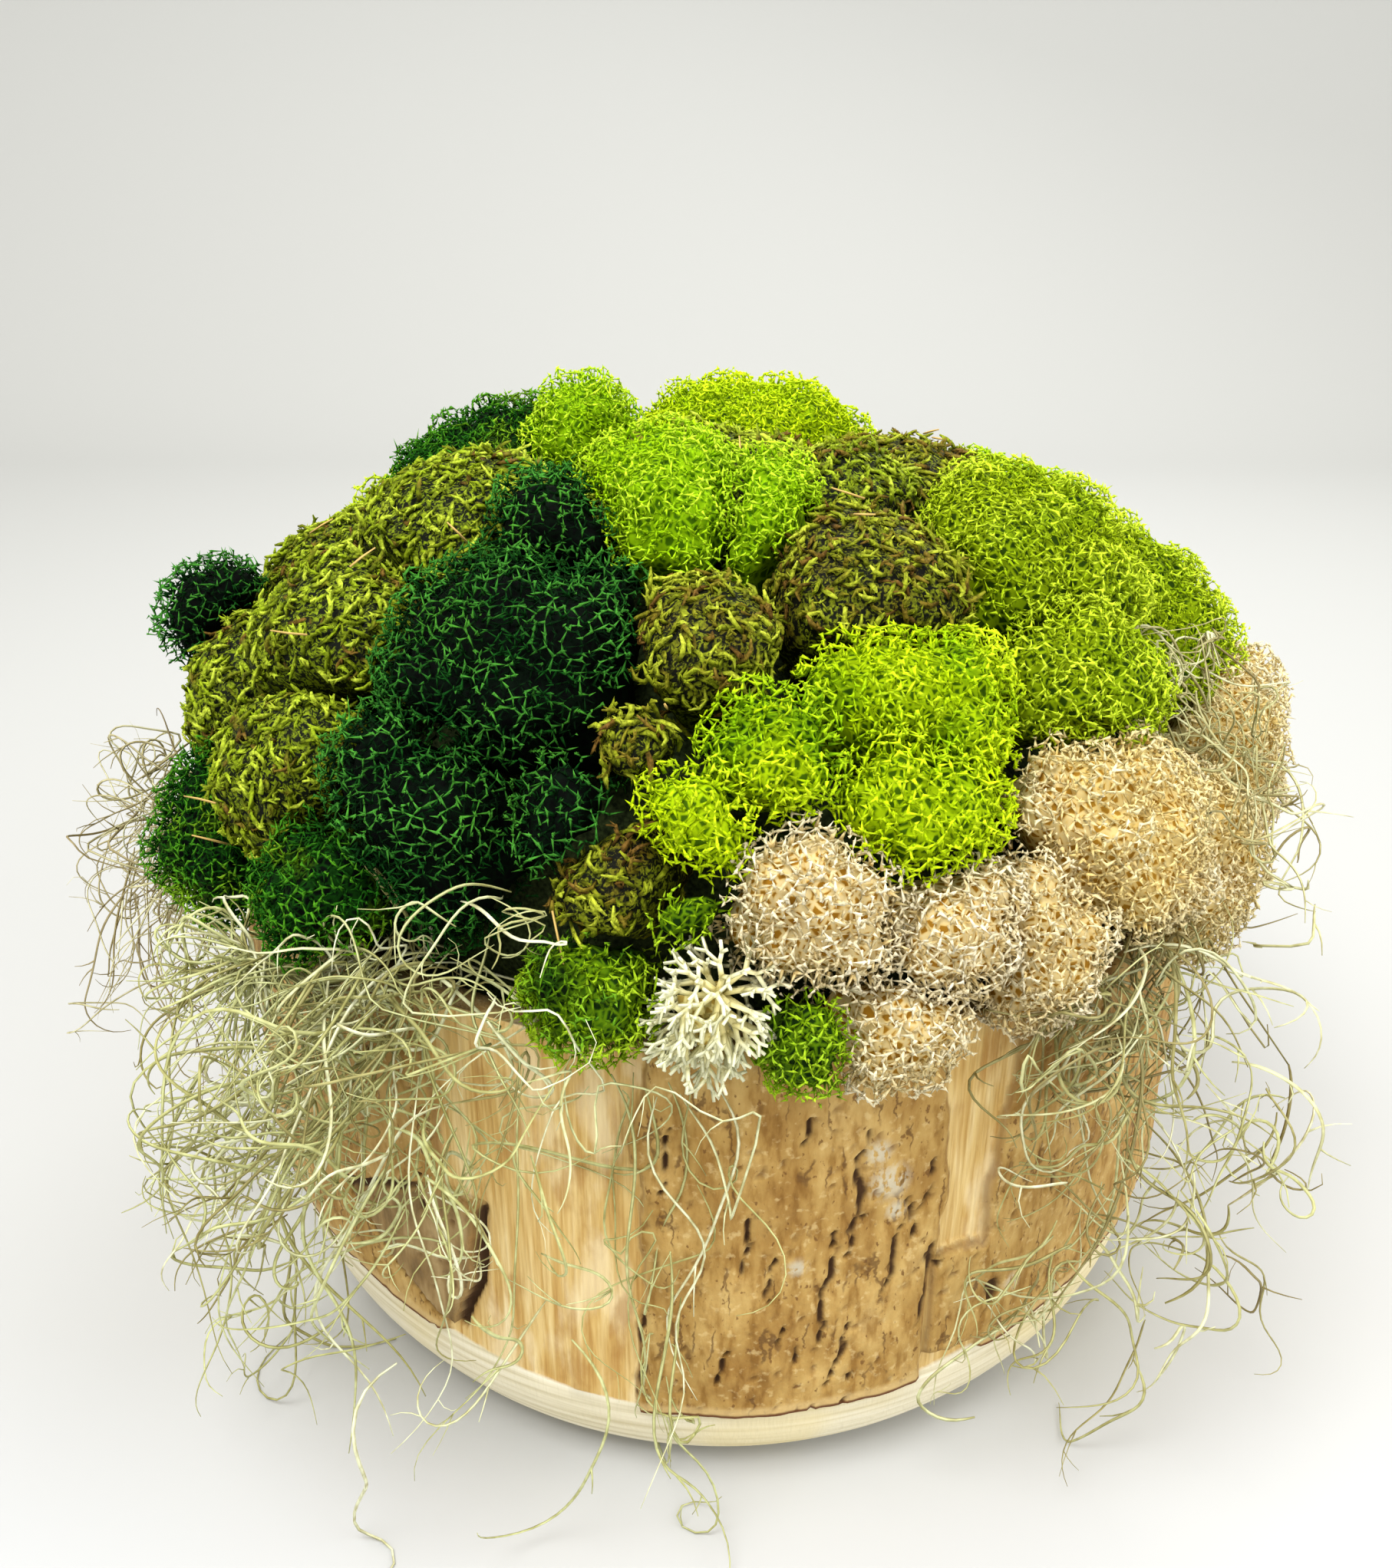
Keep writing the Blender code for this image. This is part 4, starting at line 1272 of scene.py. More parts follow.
def grow_stems(bundle, ends, directions, recipe, mesh, rng):
    """Stems from the net down to forks, and from those to deeper forks."""
    # stems are painted darker at each fork down, as painted shade
    light = STEM_TOP_LIGHT
    for level, (spacing, depth, stout, foot_light) in enumerate(STEM_LEVELS):
        forks, facing, owner = meet(ends, directions, mesh * spacing, depth, STEM_JITTER, rng)
        drawn_share = STEM_SHARE if level == 0 else 1.0
        drawn = np.flatnonzero(rng.random(len(ends)) < drawn_share)
        radii = np.full(len(drawn), recipe["thick"] * stout)
        add_twigs(bundle, forks[owner[drawn]], ends[drawn], radii,
                  (foot_light, light), rng.random(len(drawn)))
        ends, directions, light = forks, facing, foot_light


print("stems fork", len(STEM_LEVELS), "times below the net")

# %% [markdown]
# A tuft is such a net over a heart, a sheet painted as shade, with some loose branches of a
# second net showing through its cells. The heart has the same rounded heads, sunk by a few
# millimetres, and stops the light. Each kind of moss has its own recipe: how big its heads
# are, how wide and thick its net, how rough and how deep.

# %% Recipes
RECIPE_PARTS = ("head", "mesh", "thick", "tip", "rough", "inner", "tied", "sunk")
# head radius, mesh of the net, branch radius, free tip, roughness, painted light of the inner
# net, share of the arms that are there, and how deep the heart is sunk
RECIPE_NUMBERS = {
    "moss_forest": (13.0, 1.5, 0.38, 1.3, 0.75, 0.30, 0.88, 4.0),
    "moss_green": (9.0, 1.38, 0.40, 1.2, 0.5, 0.48, 0.8, 3.2),
    "moss_lime": (10.0, 1.32, 0.42, 1.0, 0.45, 0.60, 0.8, 2.8),
    "moss_olive": (11.0, 1.4, 0.43, 1.2, 0.5, 0.60, 0.8, 3.0),
    "moss_chartreuse": (11.0, 1.45, 0.48, 1.2, 0.55, 0.60, 0.85, 3.2),
    "moss_tan": (10.0, 1.36, 0.47, 1.0, 0.5, 0.60, 0.8, 2.7),
}
RECIPES = {slot: dict(zip(RECIPE_PARTS, numbers)) for slot, numbers in RECIPE_NUMBERS.items()}
# how far a tuft leans to the second dye lot of its slot, where it does
HUES = {
    "moss_green_front": 0.8, "moss_green_strip": 0.9, "moss_green_lip": 1.0,
    "moss_tan_right": 1.0, "moss_tan_right_edge": 1.0, "moss_tan_back_right": 1.0,
    "moss_chartreuse_middle": 0.6, "moss_chartreuse_top": 0.4, "moss_chartreuse_back": 1.0,
    "moss_forest_back": 0.7, "moss_forest_back_right": 0.7,
}
print("recipes:", ", ".join(RECIPES))

# %% [markdown]
# Growing one tuft takes these steps in order. First comes its soft skin with the heads on
# it. The branch ends are spread over that, lifted by gentle lumps and swells so that no head
# is a perfect ball, and tied into the net. Stems and the second net go underneath.

# %% A whole tuft
HEAD_SHARE = 0.62
HEADS_APART = 1.35
SUNK_SHARE = 0.2
SKIN_LIFT = 1.2
LUMP_LIFT = 1.3
SWELL_LIFT = 1.7
SECOND_NET_DEPTH = 1.8
SECOND_NET_SPACING = 1.45
LUMP_SIZE = 7.0
SWELL_SIZE = 15.0
STOUTER_WHERE_WIDE = 0.6


def heart(bundle, points, normals, triangles, depth):
    """The middle of a tuft: a sheet with no light, painted in shade."""
    bundle.add(points - normals * depth, triangles, 0.0, 0.5)


def tuft_base(node):
    """Everything that the growing of a tuft starts from."""
    points, normals, triangles = soft_skin(node)
    share = openness(points, normals, tree_of(neighbours_of(node)))
    return points, normals, triangles, share


def branch_ends(skin, out, crown, open_share, roughness, rng):
    """Branch ends lifted off the skin by lumps and swells, and the painted light at each."""
    lumps = fractal(skin, LUMP_SIZE, 2)
    swells = fractal(skin + 300.0, SWELL_SIZE, 2)
    lift = SKIN_LIFT + LUMP_LIFT * lumps[:, None] + SWELL_LIFT * swells[:, None]
    ends = skin + out * lift
    ends += rng.normal(0.0, roughness, ends.shape)
    # painted light: head tops, lumps and swells are painted brighter
    light = 0.52 + 0.42 * crown + 0.12 * lumps + 0.12 * swells
    # painted shade where neighbours close in
    light = light * (0.7 + 0.3 * open_share)
    return ends, np.clip(light, 0.3, 1.0)


def grow_reindeer(node, recipe, rng):
    """One tuft of reindeer moss in place of its CAD node."""
    points, normals, triangles, share = tuft_base(node)
    widening = wider_at_back(node)
    mesh = recipe["mesh"] * widening
    recipe = dict(recipe, thick=recipe["thick"] * widening ** STOUTER_WHERE_WIDE)
    spots, facing, open_share = scatter(points, normals, triangles, share, mesh, rng)
    half_width = np.ptp(points, axis=0).min() / 2.0
    head = min(recipe["head"], HEAD_SHARE * half_width)
    tops = thin_out(spots, head * HEADS_APART, rng)
    heads = (spots[tops], facing[tops], head * rng.uniform(0.8, 1.15, len(tops)))
    bundle = Bundle()
    raised, raised_facing, _ = raise_heads(points, normals, *heads)
    depth = min(recipe["sunk"], SUNK_SHARE * half_width)
    heart(bundle, raised, raised_facing, triangles, depth)
    skin, out, crown = raise_heads(spots, facing, *heads)
    kept = thin_out(skin, mesh, rng)
    ends, light = branch_ends(
        skin[kept], out[kept], crown[kept], open_share[kept], recipe["rough"], rng)
    grow_net(bundle, ends, out[kept], light, recipe, mesh, rng)
    grow_stems(bundle, ends, out[kept], recipe, mesh, rng)
    # the second net lies deeper and is painted darker, with the recipe's inner light
    deeper = thin_out(skin, mesh * SECOND_NET_SPACING, rng)
    grow_net(bundle, skin[deeper] - out[deeper] * SECOND_NET_DEPTH, out[deeper],
             np.full(len(deeper), recipe["inner"]), recipe, mesh * SECOND_NET_SPACING, rng)
    return bundle.object("grown_" + node, HUES.get(node, 0.0))


print("branch ends are lifted by up to", SKIN_LIFT + LUMP_LIFT + SWELL_LIFT, "mm")

# %% [markdown]
# The cream tuft is another lichen: bleached antlers, thick and few, that fork in wide Ys and
# end blunt. These are grown upward, since so few branches each have to be seen whole.

# %% Antlers
ANTLER_SPACING = 4.3
ANTLER_RADIUS = 0.86
ANTLER_LENGTHS = (6.5, 4.0, 3.0, 2.4)
ANTLER_LEAN = (-0.04, -0.08, -0.14)
ANTLER_ROOT_DEPTH = 9.0
ANTLER_HEART_DEPTH = 7.5
ANTLER_TAPER = 0.84


def grow_antlers(node, rng):
    """A tuft of thick forking branches in place of its CAD node."""
    points, normals, triangles, share = tuft_base(node)
    bundle = Bundle()
    heart(bundle, points, normals, triangles, ANTLER_HEART_DEPTH)
    spots, facing, _ = scatter(points, normals, triangles, share, 2.0, rng)
    picked = thin_out(spots, ANTLER_SPACING, rng)
    ends, courses = spots[picked] - facing[picked] * ANTLER_ROOT_DEPTH, facing[picked]
    radius = ANTLER_RADIUS
    for level, length in enumerate(ANTLER_LENGTHS):
        arms = 1 if level == 0 else 2
        starts = np.repeat(ends, arms, axis=0)
        parents = np.repeat(courses, arms, axis=0)
        lean = sideways(parents, rng)
        if arms == 2:
            lean[1::2] = -lean[::2]
        spread = lean * rng.uniform(0.35, 1.0, (len(starts), 1)) * min(level, 1)
        courses = unit(parents + spread + ANTLER_LEAN)
        ends = starts + courses * length * rng.uniform(0.7, 1.25, (len(starts), 1))
        # painted light: the lowest level is painted darkest and each fork up brighter
        lights = (0.35 + 0.2 * level, min(0.55 + 0.2 * level, 1.0))
        add_rods(bundle, starts - courses * radius * 0.5, ends, (radius, radius * 0.82),
                 lights, rng.random(len(starts)))
        radius *= ANTLER_TAPER
    return bundle.object("grown_" + node)


print("an antler forks", len(ANTLER_LENGTHS) - 1, "times")

# %% [markdown]
# ## Moss colours
#
# No head takes the dye quite like the next. The colour is painted light: it runs along the
# depth of a branch, from a heart in painted shade to a bright tip, and is shifted a little
# from branch to branch and from head to head.

# %% Dye lots and painted light
# heart, deep, middle and tip, from painted shade to painted light, twice: two dye lots that
# run into each other
MOSS_COLOURS = {
    "moss_forest": (((0, 2, 0), (0, 18, 3), (16, 76, 18), (72, 146, 48)),
                    ((0, 4, 0), (2, 26, 1), (24, 80, 12), (76, 142, 30))),
    "moss_green": (((0, 6, 1), (4, 36, 2), (28, 92, 10), (80, 148, 26)),
                   ((20, 46, 1), (70, 108, 2), (134, 172, 8), (190, 226, 46))),
    "moss_lime": (((72, 112, 1), (120, 168, 2), (166, 212, 8), (204, 240, 52)),
                  ((82, 122, 1), (132, 178, 2), (174, 216, 8), (210, 242, 44))),
    "moss_olive": (((46, 70, 1), (106, 130, 2), (164, 190, 8), (216, 240, 56)),
                   ((40, 70, 1), (92, 126, 2), (146, 182, 8), (200, 230, 46))),
    "moss_chartreuse": (((68, 100, 1), (140, 172, 1), (192, 222, 6), (218, 244, 32)),
                        ((30, 62, 1), (86, 132, 1), (146, 192, 4), (196, 232, 26))),
    "moss_tan": (((166, 118, 32), (240, 208, 132), (243, 225, 174), (247, 236, 205)),
                 ((178, 132, 40), (244, 212, 126), (244, 222, 154), (245, 230, 178))),
    "moss_cream": (((186, 156, 72), (236, 218, 132), (253, 243, 178), (255, 254, 216)),
                   ((186, 156, 72), (236, 218, 132), (253, 243, 178), (255, 254, 216))),
}
# where along the painted light the heart, deep, middle and tip colours lie
PAINTED_LIGHT_STOPS = (0.0, 0.24, 0.58, 0.95)
# how bright the fine net looks that covers a heart
HEART_NET = {"moss_forest": 0.15, "moss_green": 0.34, "moss_lime": 0.5, "moss_olive": 0.48,
             "moss_chartreuse": 0.5, "moss_tan": 0.5, "moss_cream": 0.4}
HEART_LIGHT = 0.06
print("dyed kinds of reindeer moss:", len(MOSS_COLOURS))

# %% [markdown]
# The finish reads the painted light of each point and looks its colour up in the lot. On the
# heart, whose painted light is nought, a pattern of cell edges stands for the finest branches.
# The piece's hue and a slow noise say which lot a place has, and each branch is a little
# paler or darker.

# %% Moss finish


def in_heart(finish, light):
    """1 on the heart of a tuft, which is painted shade, 0 on its branches."""
    return finish.between(light, HEART_LIGHT, 0.0)


def dye(finish, light, tones):
    """The colour of one dye lot at this painted light, from shade on the heart to a bright tip."""
    return finish.ramp(light, list(zip(PAINTED_LIGHT_STOPS, tones)))


def moss_finish(slot):
    """Dyed moss: two lots that run into each other, painted dark on the heart and bright at the tips.
    """
    finish = Finish(slot, 0.85, 0.08)
    light = finish.value("light")
    net = finish.between(finish.cell_edges(2.3), 0.24, 0.04)
    shown = finish.times(finish.times(net, in_heart(finish, light)), HEART_NET[slot])
    light = finish.maths("ADD", light, shown)
    first, second = MOSS_COLOURS[slot]
    patch = finish.maths("SUBTRACT", finish.between(finish.noise(22.0, 2.0), 0.38, 0.62), 0.6)
    lot = finish.between(finish.maths("ADD", finish.value("hue"), patch), 0.0, 1.0)
    colour = finish.mix(lot, dye(finish, light, first), dye(finish, light, second))
    branch_tone = finish.ramp(finish.value("tint"), [
        (0.0, (205, 205, 200)), (1.0, (255, 255, 255))])
    return finish.colour(finish.tinted(colour, branch_tone))


moss_materials = {slot: moss_finish(slot) for slot in MOSS_COLOURS}
print("moss finishes:", ", ".join(moss_materials))

# %% [markdown]
# All is ready to grow. Each node gets its own random numbers, from its place in the sorted
# list of names, so a tuft stays the same when another one changes.

# %% Grow every tuft of reindeer moss
grown_triangles = 0
for seed, node in enumerate(sorted(slot_of)):
    if slot_of[node] not in MOSS_COLOURS:
        continue
    rng = np.random.default_rng(seed)
    if slot_of[node] == "moss_cream":
        tuft = grow_antlers(node, rng)
    else:
        tuft = grow_reindeer(node, RECIPES[slot_of[node]], rng)
    dress(tuft, node, moss_materials[slot_of[node]])
    grown_triangles += len(tuft.data.polygons)
print("reindeer moss:", grown_triangles, "triangles")

# %% [markdown]
# ## Tubes that bend
#
# Leafy shoots and hanging strands both bend all along, so they need more rings than a rod.
# A tube takes a whole path and turns its rings no more than the path itself turns, which
# keeps it from twisting shut in a tight curl.

# %% Tubes


def tube_triangles(steps):
    """Triangles of one closed tube with this many rings."""
    triangles = [(0, 2, 1)]
    for k in range(steps - 1):
        for corner in range(3):
            a, b = 3 * k + corner, 3 * k + (corner + 1) % 3
            triangles += [(a, b, b + 3), (a, b + 3, a + 3)]
    last = 3 * (steps - 1)
    triangles.append((last, last + 1, last + 2))
    return np.array(triangles)


def tubes(paths, radii):
    """Closed three-sided tubes along paths (tubes, steps, 3): their points and triangles."""
    count, steps = radii.shape
    along = unit(np.gradient(paths, axis=1))
    side = square_to(along[:, 0])
    points = np.empty((count, steps, 3, 3))
    for k in range(steps):
        side = unit(side - along[:, k] * (side * along[:, k]).sum(axis=1, keepdims=True))
        other = np.cross(along[:, k], side)
        for corner in range(3):
            turn = 2.0 * math.pi * corner / 3.0
            offset = side * math.cos(turn) + other * math.sin(turn)
            points[:, k, corner] = paths[:, k] + offset * radii[:, k, None]
    first = 3 * steps * np.arange(count)[:, None, None]
    return points.reshape(-1, 3), (tube_triangles(steps)[None] + first).reshape(-1, 3)


print("a tube of four steps has", len(tube_triangles(4)), "triangles")

# %% [markdown]
# ## Sheet moss
#
# Sheet moss is a mat of small creeping shoots. Each is plump with tiny leaves pressed round
# it, lies almost flat and curls at its end. We lay the shoots over the pad's soft skin,
# each on its own course, and set three leaves round every shoot so that its outline looks
# feathery. A few dry stalks that got caught in the mat finish it.

# %% Creeping shoots
SHOOT_LENGTH = 6.4
SHOOT_RADIUS = 0.62
SHOOT_SPACING = 2.1
LEAVES_EACH = 3
LEAF_LENGTH = 1.6
LEAF_STOUTNESS = 0.8
SHOOT_TURN = 0.8
# thickness and painted light at each ring, from root to tip: shade at the root, bright tip
SHOOT_PROFILE = np.array((0.7, 1.05, 1.0, 0.45))
SHOOT_LIGHT = np.array((0.35, 0.66, 0.86, 1.0))
SHOOT_STEPS = len(SHOOT_PROFILE)


def curl_paths(starts, forward, up, lengths, steps, turn, rise):
    """Paths that turn sideways and rise or dip by a steady angle at every step."""
    side = np.cross(up, forward)
    here, paths = starts, [starts]
    for k in range(1, steps):
        swing = (turn * k)[:, None]
        climb = (rise[0] + rise[1] * k)[:, None]
        level = forward * np.cos(swing) + side * np.sin(swing)
        step = level * np.cos(climb) + up * np.sin(climb)
        here = here + step * (lengths / (steps - 1))[:, None]
        paths.append(here)
    return np.stack(paths, axis=1)


def add_shoots(bundle, spots, normals, rng):
    """Shoots with leaves at every spot."""
    count = len(spots)
    lengths = SHOOT_LENGTH * rng.uniform(0.55, 1.25, count)
    stout = SHOOT_RADIUS * rng.uniform(0.75, 1.2, count)
    rise = (rng.uniform(0.1, 0.8, count), rng.uniform(-0.5, -0.05, count))
    paths = curl_paths(spots, sideways(normals, rng), normals, lengths, SHOOT_STEPS,
                       rng.normal(0.0, SHOOT_TURN, count), rise)
    points, triangles = tubes(paths, stout[:, None] * SHOOT_PROFILE)
    tints = rng.random(count)
    light = np.repeat(np.tile(SHOOT_LIGHT, (count, 1)).ravel(), 3)
    bundle.add(points, triangles, light, np.repeat(tints, 3 * SHOOT_STEPS))
    for leaf in range(LEAVES_EACH):
        ring = 1 + leaf % (SHOOT_STEPS - 2)
        here = paths[:, ring]
        ahead = unit(paths[:, ring + 1] - here)
        aim = ahead * 0.75 + sideways(ahead, rng) * 0.85
        tips = here + aim * LEAF_LENGTH * rng.uniform(0.7, 1.2, (count, 1))
        points, triangles = spikes(here, tips, stout * LEAF_STOUTNESS)
        bundle.add(points, triangles, SHOOT_LIGHT[ring], np.repeat(tints, 4))


shoot_triangles = len(tube_triangles(SHOOT_STEPS)) + LEAVES_EACH * len(SPIKE_TRIANGLES)
print("a shoot with its leaves has", shoot_triangles, "triangles")

# %% [markdown]
# A pad is one mat: a heart painted in shade just under the skin, shoots at evenly spaced
# spots, and a dry stalk for every 170 shoots or so. The stalks have a tint of their own, over
# one, so that the finish can tell them from the green.

# %% A pad of sheet moss
SHEET_HEART_DEPTH = 1.4
SHOOT_ROOT_DEPTH = 1.2
SHOOTS_PER_STRAW = 170
STRAW_LIFT = 1.6
STRAW_RADIUS = 0.34
STRAW_PROFILE = (0.9, 1.0, 0.6)
STRAW_TINT = 2.0


def add_straws(bundle, spots, normals, count, rng):
    """A few dry stalks lying in the mat."""
    picked = rng.choice(len(spots), count, replace=False)
    lengths = rng.uniform(5.0, 12.0, count)
    rise = (rng.uniform(0.0, 0.25, count), np.zeros(count))
    steps = len(STRAW_PROFILE)
    paths = curl_paths(spots[picked] + normals[picked] * STRAW_LIFT,
                       sideways(normals[picked], rng), normals[picked], lengths, steps,
                       rng.normal(0.0, 0.1, count), rise)
    points, triangles = tubes(paths, np.full((count, steps), STRAW_RADIUS) * STRAW_PROFILE)
    bundle.add(points, triangles, 1.0, STRAW_TINT)


def grow_sheet(node, rng):
    """One pad of sheet moss in place of its CAD node."""
    points, normals, triangles, share = tuft_base(node)
    spacing = SHOOT_SPACING * wider_at_back(node)
    bundle = Bundle()
    heart(bundle, points, normals, triangles, SHEET_HEART_DEPTH)
    spots, facing, _ = scatter(points, normals, triangles, share, spacing, rng)
    picked = thin_out(spots, spacing, rng)
    spots, facing = spots[picked], facing[picked]
    add_shoots(bundle, spots - facing * SHOOT_ROOT_DEPTH, facing, rng)
    add_straws(bundle, spots, facing, max(1, len(spots) // SHOOTS_PER_STRAW), rng)
    return bundle.object("grown_" + node)


sheet_nodes = [node for node in sorted(slot_of) if slot_of[node].startswith("sheet_moss")]
print("pads of sheet moss:", len(sheet_nodes))

# %% [markdown]
# Sheet moss is sold undyed, so one pad holds dead brown, dull and fresh green at once. The
# patches are noise the size of a fingertip, mixed with the tint of each shoot.

# %% Sheet moss finish
# dead, dull, green and bright
SHEET_COLOURS = {
    "sheet_moss": ((128, 98, 40), (124, 136, 20), (160, 184, 28), (206, 224, 72)),
    "sheet_moss_brown": ((124, 92, 40), (134, 118, 34), (150, 162, 30), (200, 210, 66)),
}
STRAW_COLOUR = (206, 172, 100)


def sheet_finish(slot):
    """Undyed moss in patches of brown and green, with dry stalks, and painted light and shade."""
    finish = Finish(slot, 0.75, 0.12)
    dead, dull, green, bright = SHEET_COLOURS[slot]
    patch = finish.times(finish.noise(12.0, 3.0), 0.7)
    blend = finish.maths("ADD", patch, finish.times(finish.value("tint"), 0.42))
    hue = finish.ramp(blend, [(0.32, dead), (0.42, dull), (0.58, green), (0.74, bright)])
    light = finish.value("light")
    crumbs = finish.between(finish.noise(1.4, 3.0, distortion=1.2), 0.44, 0.58)
    shown = finish.times(finish.times(crumbs, 0.55), in_heart(finish, light))
    # painted light and shade: near black on the heart, dark at the roots, white at the tips
    shade = finish.ramp(finish.maths("ADD", light, shown), [
        (0.0, (22, 26, 3)), (0.35, (122, 124, 66)), (0.7, (228, 228, 194)), (1.0, (255, 255, 255))])
    leaf_grain = finish.ramp(finish.noise(0.8, 2.0), [
        (0.35, (176, 176, 150)), (0.6, (255, 255, 255))])
    colour = finish.tinted(finish.tinted(hue, shade), leaf_grain)
    straw = finish.between(finish.value("tint"), 1.2, 1.4)
    return finish.colour(finish.mix(straw, colour, picture_colour(*STRAW_COLOUR)))


sheet_materials = {slot: sheet_finish(slot) for slot in SHEET_COLOURS}
print("sheet finishes:", ", ".join(sheet_materials))

# %% [markdown]
# The pads are grown like the tufts, with random numbers of their own for each.

# %% Grow every pad of sheet moss
sheet_triangles = 0
for seed, node in enumerate(sorted(slot_of)):
    if slot_of[node] in SHEET_COLOURS:
        pad = grow_sheet(node, np.random.default_rng(100 + seed))
        dress(pad, node, sheet_materials[slot_of[node]])
        sheet_triangles += len(pad.data.polygons)
print("sheet moss:", sheet_triangles, "triangles")

# %% [markdown]
# ## Spanish moss
#
# Spanish moss is a tangle of thin grey-green strands. Each one curls its own way, hangs by
# its weight, leans on whatever it meets and trails on the table where it reaches it. So we
# grow all strands of a knot at once, step by step: turn each a little about its own axis,
# pull it down a little, and push it off the bowl, the mosses and the table. The CAD strands
# show where each knot's moss runs, so new strands start on them and are drawn back to them.

# %% The knots
KNOT_PARTS = ("count", "tint", "stout", "grey", "drift", "long", "leash")
# strands, range of tints, thickness, how grey, drift at every step, share of long strands,
# and how far from the CAD strands one may go before it is drawn back
KNOT_NUMBERS = {
    "spanish_moss_left": (290, (0.14, 1.0), 0.95, 0.1, (-0.055, 0.0, 0.0), 0.1, 18.0),
    "spanish_moss_left_back": (110, (0.15, 1.0), 0.72, 0.7, (0.0, -0.03, 0.0), 0.04, 10.0),
    "spanish_moss_right": (140, (0.1, 1.0), 0.9, 0.25, (-0.06, 0.02, -0.01), 0.08, 10.0),
    "spanish_moss_right_back": (52, (0.1, 0.9), 0.8, 0.4, (0.0, 0.0, 0.0), 0.0, 3.0),
    "spanish_moss_front": (26, (0.4, 1.0), 0.85, 0.1, (0.0, 0.0, 0.0), 0.1, 10.0),
    "spanish_moss_back": (70, (0.1, 1.0), 0.95, 0.3, (0.0, 0.0, 0.0), 0.08, 12.0),
}
KNOTS = {node: dict(zip(KNOT_PARTS, numbers)) for node, numbers in KNOT_NUMBERS.items()}
print("strands:", sum(knot["count"] for knot in KNOTS.values()))

# %% [markdown]
# Strands start at random places on a knot's CAD strands, more of them high up. On the left,
# where the log shows through, they thin out towards the front. A few more hang alone over
# the front of the log, and their starts are listed one by one.

# %% Where strands start
START_LOW = 15.0
START_SPAN = 100.0
# the knot that thins out towards the front: degrees where that starts and ends, below and
# above the lip, and the share that is left
THINNED_KNOT = "spanish_moss_left"
THIN_BELOW = (-56.0, -40.0)
THIN_ABOVE = (-40.0, -18.0)
LEFT_BELOW = 0.1
LEFT_ABOVE = 0.3
LIP_BAND = (100.0, 112.0)
# degrees from the front and height of each strand that hangs alone
LONE_KNOT = "spanish_moss_front"
LONE_STARTS = (
    (-17.0, 131.0), (-13.0, 134.0), (-11.0, 129.0), (-9.0, 133.0), (-8.0, 129.0), (-7.0, 134.0),
    (-6.0, 130.0), (-5.0, 128.0), (-4.0, 132.0), (-3.0, 129.0), (-2.0, 131.0), (0.5, 130.0),
    (-5.5, 96.0), (-4.0, 84.0), (-3.0, 70.0), (-6.0, 58.0), (-1.5, 104.0), (-4.5, 44.0))
LONE_GAP = 2.0


def share_left(middle):
    """The share of strands left at each place of the knot that thins out."""
    way_round = np.degrees(np.arctan2(middle[:, 0], -middle[:, 1]))
    above = fade(middle[:, 2], *LIP_BAND)
    fewer_below = (1.0 - LEFT_BELOW) * fade(way_round, *THIN_BELOW) * (1.0 - above)
    fewer_above = (1.0 - LEFT_ABOVE) * fade(way_round, *THIN_ABOVE) * above
    return 1.0 - fewer_below - fewer_above


def strand_starts(node, count, rng):
    """Random points on the CAD strands of a knot, more of them high up."""
    points, triangles = solids[node]
    corners = points[triangles]
    middle = corners.mean(axis=1)
    high_up = np.clip((middle[:, 2] - START_LOW) / START_SPAN, 0.0, 1.0) ** 0.8
    weights = areas_of(corners) * high_up
    if node == THINNED_KNOT:
        weights *= share_left(middle)
    chosen = rng.choice(len(triangles), count, p=weights / weights.sum())
    return middle[chosen]


def lone_starts():
    """Where the strands that hang alone start, just off the wall."""
    degrees, heights = np.array(LONE_STARTS).T
    return ring_points(np.radians(degrees), BOWL_RADIUS_X + LONE_GAP,
                       BOWL_RADIUS_Y + LONE_GAP, heights)


print("strands that hang alone:", len(LONE_STARTS))

# %% [markdown]
# A strand must not run through the bowl or the moss. After every step, each strand's end is
# compared with the nearest spot on any solid: if it is too near or inside, it is moved out,
# and the part of its course that points inward is taken away, so that it slides along.

# %% Leaning on the log and the moss
FARTHEST_LOOK = 40.0
obstacles = tree_of([node for node in solids if slot_of[node] != "spanish_moss"])
print("a strand can lean on", sum(1 for n in solids if slot_of[n] != "spanish_moss"), "pieces")


def push_out(places, directions, gaps):
    """Move points that are too near or inside an obstacle, and turn their courses along it."""
    for i, place in enumerate(places):
        spot, normal, _, distance = obstacles.find_nearest(Vector(place), FARTHEST_LOOK)
        if spot is None:
            continue
        outside = (Vector(place) - spot).dot(normal) >= 0.0
        if outside and distance >= gaps[i]:
            continue
        places[i] = spot + normal * gaps[i]
        inward = min(0.0, float(np.dot(directions[i], normal)))
        directions[i] -= inward * np.array(normal)


def turned(vectors, axes, angles):
    """Vectors turned about axes."""
    angles = angles[:, None]
    dot = (vectors * axes).sum(axis=1, keepdims=True)
    swung = vectors * np.cos(angles) + np.cross(axes, vectors) * np.sin(angles)
    return swung + axes * dot * (1.0 - np.cos(angles))


# %% [markdown]
# Every strand has its own manners: how long its steps are, how tight it curls, how its curl
# swells and fades, how far it keeps off what it leans on, and how much it weighs. Most are
# short and curly. The few long ones, and those that hang alone, are heavier and straighter.

# %% Manners of a strand
STRAND_STEPS = 26
SHORT_STEP = (1.4, 2.7)
LONG_STEP = (3.2, 4.8)
# radius of the curls
TIGHTEST_CURL = 3.2
LONG_CURL = (7.0, 24.0)
LONE_CURL = (5.0, 12.0)
SWAY_RATE = (0.12, 0.45)
LEAST_GAP = 1.0
# how strongly a strand is pulled down at every step
SHORT_WEIGHT = (0.0, 0.06)
LONG_WEIGHT = 0.16
LONE_WEIGHT = 0.11


